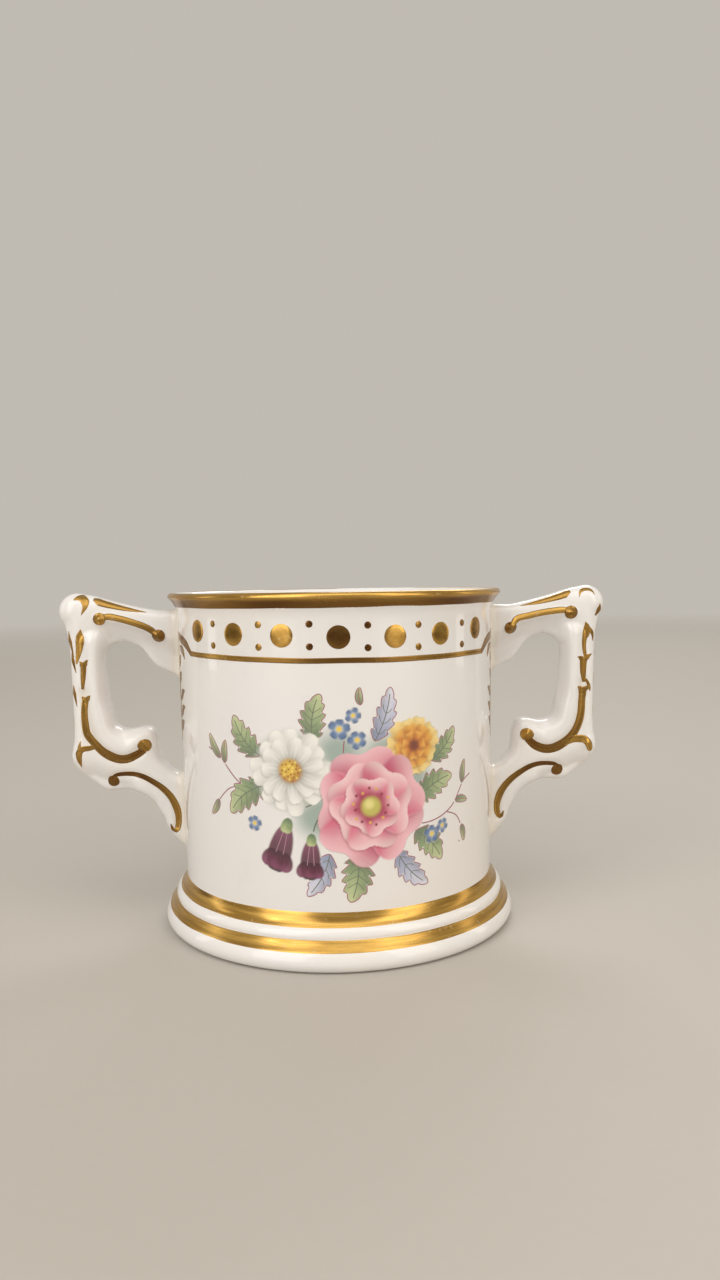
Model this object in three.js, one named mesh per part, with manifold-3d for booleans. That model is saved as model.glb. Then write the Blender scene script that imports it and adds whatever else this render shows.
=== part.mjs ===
// A small two-handled porcelain cup: a straight body on a spreading foot, two scroll handles stuck on
// with slip, and burnished gilding on the lip, the frieze, the foot and the handles.
// Millimetres, +Z up. The origin is the centre of the standing face. The handles lie along X, and the
// front of the cup faces -Y.
import * as THREE from "three";
import { mergeVertices } from "three/addons/utils/BufferGeometryUtils.js";
import Module from "manifold-3d";

const wasm = await Module();
wasm.setup();

// Body
const CUP_H = 40; // standing face to the crown of the lip
const WALL_R_LOW = 18.85; // outer radius of the wall where it meets the foot
const WALL_R_HIGH = 19.2; // outer radius of the wall under the lip
const WALL = 1.9; // thickness of the wall
const FLOOR = 3; // thickness of the floor
const FLOOR_FILLET = 3; // radius between the floor and the wall inside
const RECESS = 2.2; // height of the floor's underside above the standing face
const LIP_SPREAD = 1.15; // how far the lip stands out past the wall
const LIP_FLARE_H = 3; // height over which the wall turns out to the lip
const LIP_ROUND = 0.5; // radius of the rounded lip

// Foot, a moulded collar round the base of the body
const FOOT_H = 5.7; // standing face to the joint with the body
const FOOT_SPREAD = 2.6; // how far the foot stands out past the wall
const TORUS_R = 1; // radius of the round moulding at the bottom
const TORUS_WRAP = 78; // degrees that the round moulding turns above its widest point
const BEAD_SPREAD = 1.3; // how far the middle bead stands out past the wall
const BEAD_TOP = 4.25; // height of the bead's upper edge
const BEAD_FOOT = 3.25; // height of the bead's lower edge
const STAND_CHAMFER = 0.4; // bevel inside the standing ring

// Joints and gilding
const SLIP = 0.3; // thickness of the slip that sticks two pieces together
const FIT = 0.02; // clearance between pieces that are fired together
const GILT = 0.15; // thickness of the gilding

// Frieze under the lip
const FRIEZE_DROP = 4.6; // lip down to the centres of the gilt discs
const DISC_R = 1.12; // radius of a gilt disc
const DISC_PITCH = 18; // degrees from one disc to the next
const DISCS_EACH_SIDE = 3; // discs to the left and to the right of the middle one
const LINE_DROP = 7.1; // lip down to the middle of the gilt line
const LINE_W = 0.44; // width of the gilt line
const LINE_SPAN = 61; // degrees from the middle of a face to the end of its line

// Gilded lip
const RIM_GILT_DROP = 1.44; // crown of the lip down to the lower edge of its gilding
const RIM_BARE = 0.15; // crown of the lip down to the upper edge of its gilding

// Handles
const HANDLE_DROP = 2.05; // lip down to the top of the upper root
const HANDLE_LIFT = 8.7; // standing face up to the bottom of the lower root
const HANDLE_T = 4; // thickness of a handle, along Y
const HANDLE_EDGE = 0.8; // rounding of a handle's edges
const ROOT_INSET = 4; // how deep a handle's blank runs into the wall before it is cut to its seat
const KNOB_R = 2.2; // radius of the ball at the top outer corner
const KNOB_OUT = 12.25; // wall out to the centre of the ball
const KNOB_FROM = 112; // degrees round the ball where the top bar runs into it
const KNOB_TO = -45; // degrees round the ball where the upright leaves it
const STROKE_W = 0.6; // width of a brushed gilt line on a handle
const STROKE_END_R = 0.72; // radius of the round blob that ends a line
const HUSKS = 3; // husks that the scroll's line starts with
const HUSK_RUN = 0.45; // share of the scroll's line that the husks take
const HUSK_STEM_W = 0.3; // width of a husk where it is drawn out to a stem
const HUSK_W = 0.8; // width of a husk at its broad end

// Facets
const ROUND = 48; // sides of a turned piece
const CURVE_STEPS = 3; // steps of each curve in a turned profile
const OUTLINE_STEPS = 2; // steps between two points of a handle's outline
const EDGE_STEPS = 2; // steps of a handle's rounded edge
const STROKE_STEPS = 3; // steps between two points of a gilt line
const DOT_SIDES = 16; // sides of a gilt disc
const BALL_SIDES = 16; // sides of a knob

const china = new THREE.MeshStandardMaterial({ color: 0xf3efe9, roughness: 0.12, metalness: 0 });
const slip = new THREE.MeshStandardMaterial({ color: 0xe6e0d6, roughness: 0.6, metalness: 0 });
const gold = new THREE.MeshStandardMaterial({ color: 0xb07d2c, roughness: 0.28, metalness: 1 });

const radians = THREE.MathUtils.degToRad;

// Heights and radii that follow from the sizes above
const shoulderZ = FOOT_H + SLIP;
const flareZ = CUP_H - LIP_FLARE_H;
const lipR = WALL_R_HIGH + LIP_SPREAD;
const footR = WALL_R_LOW + FOOT_SPREAD;
const beadR = WALL_R_LOW + BEAD_SPREAD;
const torusWrap = radians(TORUS_WRAP);
const spigotR = WALL_R_LOW - WALL;
const floorZ = RECESS + FLOOR;
const handleTop = CUP_H - HANDLE_DROP;
const splitZ = (handleTop + HANDLE_LIFT) / 2;

// A three.js geometry as a closed manifold-3d solid.
function solidOf(geometry) {
  const bare = geometry.clone();
  bare.deleteAttribute("normal");
  bare.deleteAttribute("uv");
  const merged = mergeVertices(bare, 1e-4);
  return new wasm.Manifold(
    new wasm.Mesh({
      numProp: 3,
      vertProperties: merged.attributes.position.array,
      triVerts: new Uint32Array(merged.index.array),
    }),
  );
}

// A manifold-3d solid as a named mesh.
function meshOf(name, solid, material) {
  const made = solid.getMesh();
  const geometry = new THREE.BufferGeometry();
  geometry.setAttribute("position", new THREE.BufferAttribute(made.vertProperties, 3));
  geometry.setIndex(new THREE.BufferAttribute(made.triVerts, 1));
  geometry.computeVertexNormals();
  const mesh = new THREE.Mesh(geometry, material);
  mesh.name = name;
  return mesh;
}

// A profile of (radius, height) points turned about Z. One that starts off the axis is closed on itself.
function turned(profile) {
  const points = profile[0].x > 0 ? [...profile, profile[0].clone()] : profile;
  const geometry = new THREE.LatheGeometry(points, ROUND);
  geometry.rotateX(Math.PI / 2);
  return solidOf(geometry);
}

// A flat outline in the XZ plane, thickened along Y from near to far, with edges rounded by edge.
function plate(shape, near, far, edge = 0) {
  const geometry = new THREE.ExtrudeGeometry(shape, {
    depth: far - near - 2 * edge,
    bevelEnabled: edge > 0,
    bevelThickness: edge,
    bevelSize: edge,
    bevelOffset: -edge,
    bevelSegments: EDGE_STEPS,
    curveSegments: OUTLINE_STEPS,
  });
  geometry.rotateX(Math.PI / 2);
  geometry.translate(0, far - edge, 0);
  return solidOf(geometry);
}

// A line of profile points moved out along its normals.
function offset(points, distance) {
  return points.map((p, i) => {
    const before = points[Math.max(i - 1, 0)];
    const after = points[Math.min(i + 1, points.length - 1)];
    const along = after.clone().sub(before).normalize();
    return new THREE.Vector2(p.x + along.y * distance, p.y - along.x * distance);
  });
}

// The stretch of a rising profile between two heights.
function stretch(points, low, high) {
  const at = (z) => {
    const next = points.findIndex((p) => p.y >= z);
    const from = points[next - 1];
    const to = points[next];
    return from.clone().lerp(to, (z - from.y) / (to.y - from.y));
  };
  return [at(low), ...points.filter((p) => p.y > low && p.y < high), at(high)];
}

// A layer of gilding on a stretch of a turned surface.
function gilded(points) {
  return turned([...offset(points, FIT + GILT), ...offset(points, FIT).reverse()]);
}

// The outside of the wall and the lip, from the shoulder up to the crown of the lip.
function outsideOfWall() {
  const path = new THREE.Path();
  path.moveTo(WALL_R_LOW, shoulderZ);
  path.lineTo(WALL_R_HIGH, flareZ);
  path.quadraticCurveTo(WALL_R_HIGH, CUP_H - LIP_FLARE_H / 2, lipR, CUP_H - LIP_ROUND);
  path.absarc(lipR - LIP_ROUND, CUP_H - LIP_ROUND, LIP_ROUND, 0, Math.PI / 2, false);
  return path.getPoints(CURVE_STEPS);
}

// The inside of the lip, the wall and the floor, from the crown of the lip down to the axis.
function insideOfWall() {
  const innerHigh = WALL_R_HIGH - WALL;
  const path = new THREE.Path();
  path.absarc(lipR - LIP_ROUND, CUP_H - LIP_ROUND, LIP_ROUND, Math.PI / 2, Math.PI, false);
  path.quadraticCurveTo(innerHigh, CUP_H - LIP_FLARE_H / 2, innerHigh, flareZ);
  path.lineTo(spigotR, floorZ + FLOOR_FILLET);
  path.absarc(spigotR - FLOOR_FILLET, floorZ + FLOOR_FILLET, FLOOR_FILLET, 0, -Math.PI / 2, true);
  path.lineTo(0, floorZ);
  return path.getPoints(CURVE_STEPS).slice(1);
}

const outside = outsideOfWall();

function cupBody() {
  const underside = [
    new THREE.Vector2(0, RECESS),
    new THREE.Vector2(spigotR, RECESS),
    new THREE.Vector2(spigotR, shoulderZ),
  ];
  return turned([...underside, ...outside, ...insideOfWall()]);
}

// The two hollow mouldings of the foot, which are gilded, each from its lower to its upper edge.
function hollows() {
  const torusTopZ = TORUS_R + TORUS_R * Math.sin(torusWrap);
  const low = new THREE.Path();
  low.moveTo(footR - TORUS_R + TORUS_R * Math.cos(torusWrap), torusTopZ);
  low.quadraticCurveTo(beadR, torusTopZ, beadR, BEAD_FOOT);
  const high = new THREE.Path();
  high.moveTo((WALL_R_LOW + beadR) / 2, BEAD_TOP);
  high.quadraticCurveTo(WALL_R_LOW, BEAD_TOP, WALL_R_LOW, FOOT_H);
  return { low: low.getPoints(CURVE_STEPS), high: high.getPoints(CURVE_STEPS) };
}

const foot = hollows();

function footRing() {
  const boreR = spigotR + SLIP;
  const bead = new THREE.Path();
  bead.moveTo(beadR, BEAD_FOOT);
  bead.quadraticCurveTo(beadR, BEAD_TOP, foot.high[0].x, BEAD_TOP);
  const torus = new THREE.Path();
  torus.absarc(footR - TORUS_R, TORUS_R, TORUS_R, -Math.PI / 2, torusWrap, false);
  const inside = [
    new THREE.Vector2(boreR, FOOT_H),
    new THREE.Vector2(boreR, STAND_CHAMFER),
    new THREE.Vector2(boreR + STAND_CHAMFER, 0),
  ];
  const round = torus.getPoints(CURVE_STEPS);
  const outline = [...round, ...foot.low.slice(1), ...bead.getPoints(CURVE_STEPS).slice(1)];
  return turned([...outline, ...foot.high.slice(1), ...inside]);
}

// The ring of slip between the foot and the shoulder of the body.
function footSlip() {
  const inner = spigotR + SLIP;
  return turned([
    new THREE.Vector2(inner, FOOT_H + FIT),
    new THREE.Vector2(WALL_R_LOW, FOOT_H + FIT),
    new THREE.Vector2(WALL_R_LOW, shoulderZ - FIT),
    new THREE.Vector2(inner, shoulderZ - FIT),
  ]);
}

// A ring of gilding on the outside of the wall, between two distances down from the lip.
function wallGilt(top, bottom) {
  return gilded(stretch(outside, CUP_H - bottom, CUP_H - top));
}

// A gilt line across one face of the cup. Facing is 0 for the front and 180 for the back.
function friezeLine(facing) {
  const reach = 2 * lipR;
  const sector = new THREE.Shape();
  sector.moveTo(0, 0);
  for (const turn of [-LINE_SPAN, 0, LINE_SPAN]) {
    const angle = radians(turn + facing - 90);
    sector.lineTo(reach * Math.cos(angle), reach * Math.sin(angle));
  }
  const wedge = new THREE.ExtrudeGeometry(sector, { depth: CUP_H, bevelEnabled: false });
  return wallGilt(LINE_DROP - LINE_W / 2, LINE_DROP + LINE_W / 2).intersect(solidOf(wedge));
}

const discRing = wallGilt(FRIEZE_DROP - 2 * DISC_R, FRIEZE_DROP + 2 * DISC_R);

// A round gilt spot on the frieze, turned degrees from the front of the cup.
function friezeDisc(turn) {
  const plug = new THREE.CylinderGeometry(DISC_R, DISC_R, lipR, DOT_SIDES);
  plug.translate(0, -lipR, 0);
  plug.rotateZ(radians(turn));
  plug.translate(0, 0, CUP_H - FRIEZE_DROP);
  return discRing.intersect(solidOf(plug));
}

// A point of a handle at a height, measured out from the straight wall at that height.
function besideWall(out, z) {
  const rise = (z - shoulderZ) / (flareZ - shoulderZ);
  return new THREE.Vector2(THREE.MathUtils.lerp(WALL_R_LOW, WALL_R_HIGH, rise) + out, z);
}

// A point of a handle, measured out from the wall and up from the top of its upper root.
function upper(out, up) {
  return besideWall(out, handleTop + up);
}

// A point of a handle, measured out from the wall and up from the bottom of its lower root.
function lower(out, up) {
  return besideWall(out, HANDLE_LIFT + up);
}

const knob = upper(KNOB_OUT, 0);

// The outline of a handle on the +X side: over the top bar and the knob, down the outside, under the
// leg to the wall, and back up the inside over the volute and under the arch.
function handleOutline() {
  const start = upper(-ROOT_INSET, 0);
  const shape = new THREE.Shape();
  shape.moveTo(start.x, start.y);
  shape.lineTo(upper(1, 0).x, start.y);
  shape.splineThru([upper(3, 0.02), upper(6.8, 0.85), upper(10.4, 1.9)]);
  shape.absarc(knob.x, knob.y, KNOB_R, radians(KNOB_FROM), radians(KNOB_TO), true);
  shape.splineThru([upper(13.4, -3.4), upper(13.25, -6), lower(13.15, 15.8), lower(13.25, 13.4)]);
  shape.splineThru([lower(13.6, 11.4), lower(13.1, 9.8), lower(11.6, 8.5), lower(10.05, 7.25)]);
  shape.splineThru([lower(9.15, 7), lower(6.55, 7), lower(4.15, 5.9), lower(2.6, 3.5)]);
  shape.splineThru([lower(2.1, 2.1), lower(0.6, 0.2)]);
  shape.lineTo(start.x, HANDLE_LIFT);
  shape.lineTo(start.x, lower(0, 8.9).y);
  shape.splineThru([lower(0.4, 9), lower(2.1, 10.1), lower(2.9, 11.2), lower(3.1, 13.2)]);
  shape.splineThru([lower(3.55, 14.5), lower(4.65, 14.9), lower(6.35, 14.6), lower(7.45, 14.7)]);
  shape.splineThru([lower(8.35, 15.9), upper(9.15, -7), upper(9.05, -5.2)]);
  shape.splineThru([upper(8.15, -4.2), upper(6.7, -3.75)]);
  shape.splineThru([upper(4.85, -4.55), upper(3.15, -6.7), upper(1.6, -7.6), upper(0.3, -8.3)]);
  shape.lineTo(start.x, upper(0, -8.4).y);
  return shape;
}

const blank = plate(handleOutline(), -HANDLE_T / 2, HANDLE_T / 2, HANDLE_EDGE);

// Everything inside the outside of the wall, grown by a distance.
function wallGrown(distance) {
  const grown = offset(outside, distance);
  return turned([new THREE.Vector2(0, grown[0].y), ...grown, new THREE.Vector2(0, grown.at(-1).y)]);
}

function handle() {
  const ball = new THREE.SphereGeometry(KNOB_R, BALL_SIDES, BALL_SIDES / 2);
  ball.rotateX(Math.PI / 2);
  ball.translate(knob.x, 0, knob.y);
  return blank.add(solidOf(ball)).subtract(wallGrown(SLIP));
}

// The slip under one root of a handle, between two heights.
function rootSlip(low, high) {
  const slab = new THREE.BoxGeometry(lipR, 2 * HANDLE_T, high - low);
  slab.translate(lipR, 0, (low + high) / 2);
  const layer = wallGrown(SLIP - FIT).subtract(wallGrown(FIT));
  return blank.intersect(layer).intersect(solidOf(slab));
}

// A brushed line on the front face of a handle. halfWidth gives half its width at a share of its length,
// and blobs are the points where it ends in a round blob.
function brushed(points, halfWidth, blobs) {
  const curve = new THREE.SplineCurve(points);
  const count = STROKE_STEPS * (points.length - 1);
  const near = -HANDLE_T / 2 - FIT - GILT;
  const far = -HANDLE_T / 2 - FIT;
  const sides = [1, -1].map((side) =>
    Array.from({ length: count + 1 }, (_, i) => {
      const along = curve.getTangent(i / count);
      const reach = side * halfWidth(i / count);
      return curve.getPoint(i / count).add(new THREE.Vector2(-along.y * reach, along.x * reach));
    }),
  );
  let stroke = plate(new THREE.Shape([...sides[0], ...sides[1].reverse()]), near, far);
  for (const blob of blobs) {
    const dot = new THREE.CylinderGeometry(STROKE_END_R, STROKE_END_R, GILT, DOT_SIDES);
    dot.translate(blob.x, (near + far) / 2, blob.y);
    stroke = stroke.add(solidOf(dot));
  }
  return stroke;
}

const even = () => STROKE_W / 2;

// A chain of husks, each broad at the top and drawn out to a stem, and then an even line.
function husks(along) {
  const husk = (along * HUSKS) / HUSK_RUN;
  if (husk > HUSKS) return STROKE_W / 2;
  return THREE.MathUtils.lerp(HUSK_W, HUSK_STEM_W, husk % 1) / 2;
}

function topBarLine() {
  const ends = [upper(2.5, -2.9), upper(9.6, -0.9)];
  return brushed([ends[0], upper(4.2, -1.95), upper(6.6, -1.2), ends[1]], even, ends);
}

function scrollLine() {
  const end = lower(4.65, 12.9);
  const upright = [upper(11.6, -2.7), upper(11.7, -6.3), lower(11.8, 17.3), lower(11.65, 15.2)];
  const scroll = [lower(11.05, 13.5), lower(9.8, 12), lower(7.4, 11.05), lower(5.5, 11.6), end];
  return brushed([...upright, ...scroll], husks, [end]);
}

function legLine() {
  const start = lower(8.6, 8.3);
  const leg = [lower(6.4, 9.2), lower(3.9, 8.4), lower(1.85, 6.6), lower(1.1, 4.9), lower(1.05, 3.9)];
  return brushed([start, ...leg], even, [start]);
}

// The pieces, in the order in which the cup is made
const cup = new THREE.Group();
cup.add(meshOf("cup_body", cupBody(), china));
cup.add(meshOf("foot_ring", footRing(), china));
cup.add(meshOf("foot_slip_joint", footSlip(), slip));

const handleSolid = handle();
const slips = {
  upper: rootSlip(splitZ, CUP_H),
  lower: rootSlip(0, splitZ),
};
const lines = { top_bar_gilding: topBarLine(), scroll_gilding: scrollLine(), leg_gilding: legLine() };

for (const [side, turn] of [["right", 0], ["left", Math.PI]]) {
  const arm = new THREE.Group();
  arm.rotation.z = turn;
  arm.add(meshOf(`${side}_handle`, handleSolid, china));
  for (const [root, solid] of Object.entries(slips)) {
    arm.add(meshOf(`${side}_${root}_slip_joint`, solid, slip));
  }
  for (const [line, solid] of Object.entries(lines)) {
    const near = turn === 0 ? "front" : "back";
    const far = turn === 0 ? "back" : "front";
    arm.add(meshOf(`${side}_${line}_${near}`, solid, gold));
    arm.add(meshOf(`${side}_${line}_${far}`, solid.mirror([0, 1, 0]), gold));
  }
  cup.add(arm);
}

cup.add(meshOf("rim_gilding", wallGilt(RIM_BARE, RIM_GILT_DROP), gold));
cup.add(meshOf("upper_foot_gilding", gilded(foot.high), gold));
cup.add(meshOf("lower_foot_gilding", gilded(foot.low), gold));
for (const [face, facing] of [["front", 0], ["back", 180]]) {
  cup.add(meshOf(`${face}_frieze_line`, friezeLine(facing), gold));
  for (let i = -DISCS_EACH_SIDE; i <= DISCS_EACH_SIDE; i++) {
    const name = `${face}_frieze_disc_${i + DISCS_EACH_SIDE + 1}`;
    cup.add(meshOf(name, friezeDisc(facing + i * DISC_PITCH), gold));
  }
}

export default cup;
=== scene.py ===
# %% [markdown]
# # A miniature two-handled cup
# This lesson dresses the CAD solids of a 40 mm porcelain cup as the fired and gilded thing. The solids
# set every size. Here they get their true smoothness, the relief of the handles, the glaze, the gold
# and the flower painting. All the pieces are modelled in place, in the CAD frame: X runs through the
# handles, -Y is the front and Z is up.

# %% Load the solids
import math

import bpy
import numpy as np
from mathutils import Matrix


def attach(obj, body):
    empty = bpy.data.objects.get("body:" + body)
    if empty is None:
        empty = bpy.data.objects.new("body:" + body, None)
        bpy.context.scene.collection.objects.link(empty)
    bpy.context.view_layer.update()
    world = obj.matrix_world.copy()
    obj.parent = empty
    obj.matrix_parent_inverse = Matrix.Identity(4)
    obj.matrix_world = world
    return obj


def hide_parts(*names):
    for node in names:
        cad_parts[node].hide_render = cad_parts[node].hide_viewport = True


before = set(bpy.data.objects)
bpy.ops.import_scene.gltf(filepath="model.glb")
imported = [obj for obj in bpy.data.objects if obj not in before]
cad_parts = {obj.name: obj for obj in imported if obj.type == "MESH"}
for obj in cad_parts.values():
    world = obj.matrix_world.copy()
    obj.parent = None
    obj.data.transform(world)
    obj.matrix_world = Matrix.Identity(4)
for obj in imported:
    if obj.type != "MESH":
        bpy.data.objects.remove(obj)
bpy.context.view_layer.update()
MM = 0.001
bpy.ops.object.select_all(action="DESELECT")
print("CAD solids:", len(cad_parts))

# %% [markdown]
# ## Building materials from nodes
# Each finish is a small tree of nodes. One helper sets or wires the inputs of a node, and another adds a
# node with its settings, so that a finish reads as a list of steps. A node group needs its sockets
# declared first, which a third helper does, and a fourth starts a material. Two more make the steps that
# come back most often: a soft ramp, and a mix of two colours.

# %% Helpers for nodes
COLOUR, VALUE, VECTOR = "NodeSocketColor", "NodeSocketFloat", "NodeSocketVector"


def wire(node, inputs):
    """Set inputs of a node: plain values, or sockets of earlier nodes to wire in."""
    for key, value in inputs.items():
        if isinstance(value, bpy.types.NodeSocket):
            node.id_data.links.new(value, node.inputs[key])
        else:
            node.inputs[key].default_value = value


def put(tree, kind, inputs=None, **settings):
    """Add a node with its settings and inputs."""
    node = tree.nodes.new(kind)
    for key, value in settings.items():
        setattr(node, key, value)
    wire(node, inputs or {})
    return node


def node_group(name, takes, gives):
    """An empty shader group with named inputs and outputs, and its two end nodes."""
    tree = bpy.data.node_groups.new(name, "ShaderNodeTree")
    for label, kind in takes:
        tree.interface.new_socket(label, in_out="INPUT", socket_type=kind)
    for label, kind in gives:
        tree.interface.new_socket(label, in_out="OUTPUT", socket_type=kind)
    return tree, tree.nodes.new("NodeGroupInput"), tree.nodes.new("NodeGroupOutput")


def new_finish(name):
    """A new material, its tree and its Principled shader."""
    material = bpy.data.materials.new(name)
    material.use_nodes = True
    return material, material.node_tree, material.node_tree.nodes["Principled BSDF"]


def ramp(tree, source, low, high):
    """Map a value so that low gives 0 and high gives 1, with a soft shoulder at both ends."""
    ends = {"Value": source, "From Min": low, "From Max": high}
    return put(tree, "ShaderNodeMapRange", ends, interpolation_type="SMOOTHSTEP").outputs["Result"]


def blend(tree, share, first, second):
    """Mix two colours by a share from 0 to 1."""
    return put(tree, "ShaderNodeMix", {0: share, 6: first, 7: second}, data_type="RGBA").outputs[2]


print("node helpers ready")

# %% [markdown]
# ## The glaze
# Bone china is a warm white body under a clear glaze. Close up it isn't one flat white: the tone drifts
# between cream and a cooler grey, a few kiln specks show, handling leaves faint scuffs, and the glaze
# surface is very slightly rippled. Those four things go into a group, because the bare china and the
# painted parts share them. The gloss itself is the coat of the Principled shader.

# %% The shared glaze group
CHINA_WARM = (0.86, 0.825, 0.79, 1)
CHINA_COOL = (0.845, 0.825, 0.815, 1)
SPECK = (0.30, 0.26, 0.22, 1)
SCUFF = (0.70, 0.69, 0.66, 1)

glaze, ends_in, ends_out = node_group(
    "glaze_tone", [("Place", VECTOR)], [("Color", COLOUR), ("Height", VALUE)]
)
millimetres = put(
    glaze, "ShaderNodeVectorMath", {0: ends_in.outputs["Place"], "Scale": 1 / MM}, operation="SCALE"
)
place = millimetres.outputs["Vector"]
drift = put(glaze, "ShaderNodeTexNoise", {"Vector": place, "Scale": 0.05, "Detail": 2})
tone = blend(glaze, ramp(glaze, drift.outputs["Fac"], 0.35, 0.65), CHINA_COOL, CHINA_WARM)
smears = put(
    glaze, "ShaderNodeTexNoise", {"Vector": place, "Scale": 0.22, "Detail": 5, "Roughness": 0.7}
)
faint = ramp(glaze, smears.outputs["Fac"], 0.58, 0.78)
scuffed = put(glaze, "ShaderNodeMath", {0: faint, 1: 0.35}, operation="MULTIPLY")
tone = blend(glaze, scuffed.outputs[0], tone, SCUFF)
cells = put(glaze, "ShaderNodeTexVoronoi", {"Vector": place, "Scale": 0.3})
small = ramp(glaze, cells.outputs["Distance"], 0.045, 0.025)
picked = put(glaze, "ShaderNodeSeparateColor", {"Color": cells.outputs["Color"]})
few = put(glaze, "ShaderNodeMath", {0: picked.outputs["Red"], 1: 0.93}, operation="GREATER_THAN")
speckled = put(glaze, "ShaderNodeMath", {0: small, 1: few.outputs[0]}, operation="MULTIPLY")
tone = blend(glaze, speckled.outputs[0], tone, SPECK)
ripple = put(glaze, "ShaderNodeTexNoise", {"Vector": place, "Scale": 0.55, "Detail": 2})
wire(ends_out, {"Color": tone, "Height": ripple.outputs["Fac"]})
print("glaze group:", len(glaze.nodes), "nodes")

# %% [markdown]
# The china itself: the group's colour goes into the base, its ripple into a weak bump, and a coat with a
# low roughness stands for the glaze. The painted parts start in the same way, so a helper makes that
# start. On the handles the glaze runs into the hollows and looks creamier there, and painted shade makes
# those hollows and corners darker as well, so the china also reads an attribute for both, which is zero
# where a piece has none.

# %% The glazed china
RIPPLE, RIPPLE_DEPTH = 0.12, 0.05
GLOSS = {"Roughness": 0.42, "Coat Weight": 1, "Coat Roughness": 0.035}
# Darker cream for the handles' hollows and root corners: pooled glaze, and painted shade.
CREAM_AND_SHADE = (0.82, 0.75, 0.62, 1)


def glazed(name):
    """A glossy, faintly rippled finish without its colour yet, and its glaze group."""
    material, tree, shader = new_finish(name)
    where = put(tree, "ShaderNodeTexCoord").outputs["Object"]
    skin = put(tree, "ShaderNodeGroup", {"Place": where}, node_tree=glaze)
    ripples = {"Height": skin.outputs["Height"], "Strength": RIPPLE, "Distance": RIPPLE_DEPTH * MM}
    wire(shader, GLOSS)
    wire(shader, {"Normal": put(tree, "ShaderNodeBump", ripples).outputs["Normal"]})
    return material, tree, shader, skin


china, tree, shader, skin = glazed("glazed_china")
# Painted shade with pooled glaze: the darker cream in the hollows and corners.
pooled_and_shaded = put(tree, "ShaderNodeAttribute", attribute_name="pool_and_shade")
wire(shader, {"Base Color": blend(tree, pooled_and_shaded.outputs["Fac"], skin.outputs["Color"], CREAM_AND_SHADE)})
print("material:", china.name)

# %% [markdown]
# ## The gold
# The gilding is brushed on as a brown liquid, fired, and rubbed bright with a stone. It keeps the drag
# of the brush as fine streaks, and years of wiping wear it thin in small blotches. A painted dark
# reflection turns the gold brown where it would mirror dark surroundings, as under the flare of the lip.
# The group makes streaks from a noise that is stretched along the stroke, so it takes its place from
# outside: bands and dabs read the object's own frame, and brush strokes read their own UV map.

# %% The shared gold group
GOLD_BRIGHT = (0.70, 0.43, 0.11, 1)
GOLD_DEEP = (0.42, 0.235, 0.055, 1)
GOLD_THIN = (0.52, 0.35, 0.15, 1)
# Painted dark reflection: the dark brown the gold takes where it would mirror dark surroundings.
GOLD_DARK_REFLECTION = (0.16, 0.074, 0.024, 1)

gilding, ends_in, ends_out = node_group(
    "brushed_gold",
    [("Stroke", VECTOR), ("Place", VECTOR), ("Raw", VALUE)],
    [("Color", COLOUR), ("Roughness", VALUE), ("Height", VALUE)],
)
streaks = put(
    gilding, "ShaderNodeTexNoise",
    {"Vector": ends_in.outputs["Stroke"], "Scale": 1, "Detail": 4, "Roughness": 0.6},
)
blotches = put(
    gilding, "ShaderNodeTexNoise", {"Vector": ends_in.outputs["Place"], "Scale": 1400, "Detail": 6}
)
tone = blend(gilding, ramp(gilding, streaks.outputs["Fac"], 0.3, 0.72), GOLD_DEEP, GOLD_BRIGHT)
worn = ramp(gilding, blotches.outputs["Fac"], 0.60, 0.74)
tone = blend(gilding, worn, tone, GOLD_THIN)
# Painted dark reflection: the gold turns dark brown by the attribute's share.
tone = blend(gilding, ends_in.outputs["Raw"], tone, GOLD_DARK_REFLECTION)
rubbed = put(
    gilding, "ShaderNodeMapRange", {"Value": streaks.outputs["Fac"], "To Min": 0.12, "To Max": 0.28}
)
rough = put(gilding, "ShaderNodeMath", {0: worn, 1: 0.12, 2: rubbed.outputs[0]}, operation="MULTIPLY_ADD")
wire(ends_out, {"Color": tone, "Roughness": rough.outputs[0], "Height": streaks.outputs["Fac"]})
print("gold group:", len(gilding.nodes), "nodes")

# %% [markdown]
# Three golds come from that group. On the bands the streaks run round the cup, on the dabs they lie any
# way, and on a brush stroke they run along it. Each also reads an attribute of painted dark reflection,
# which says how far its gold is turned dark brown.

# %% Three golds: bands, dabs and brush strokes
STREAK_DEPTH = 0.02


def gold_material(name, reads, stretch, bite, soften=0.0):
    """Gold whose streaks follow the frame or the stroke's own UV map; bite is how strong they are."""
    material, tree, shader = new_finish(name)
    source = put(tree, "ShaderNodeTexCoord")
    drawn = put(tree, "ShaderNodeMapping", {"Vector": source.outputs[reads], "Scale": stretch})
    # The share of painted dark reflection, one number for each vertex.
    dark_reflection = put(tree, "ShaderNodeAttribute", attribute_name="dark_reflection")
    places = {"Stroke": drawn.outputs["Vector"], "Place": source.outputs["Object"]}
    gold = put(tree, "ShaderNodeGroup", {**places, "Raw": dark_reflection.outputs["Fac"]}, node_tree=gilding)
    grooves = {"Height": gold.outputs["Height"], "Strength": bite, "Distance": STREAK_DEPTH * MM}
    softer = put(tree, "ShaderNodeMath", {0: gold.outputs["Roughness"], 1: soften}, operation="ADD")
    wire(shader, {"Base Color": gold.outputs["Color"], "Roughness": softer.outputs[0], "Metallic": 1})
    wire(shader, {"Normal": put(tree, "ShaderNodeBump", grooves).outputs["Normal"]})
    return material


band_gold = gold_material("burnished_gold_bands", "Object", (120, 120, 2600), 0.2, soften=0.03)
dab_gold = gold_material("burnished_gold_dabs", "Object", (420, 420, 700), 0.1)
stroke_gold = gold_material("burnished_gold_strokes", "UV", (1.2, 3, 1), 0.08, soften=0.06)
print("materials:", band_gold.name, dab_gold.name, stroke_gold.name)

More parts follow.
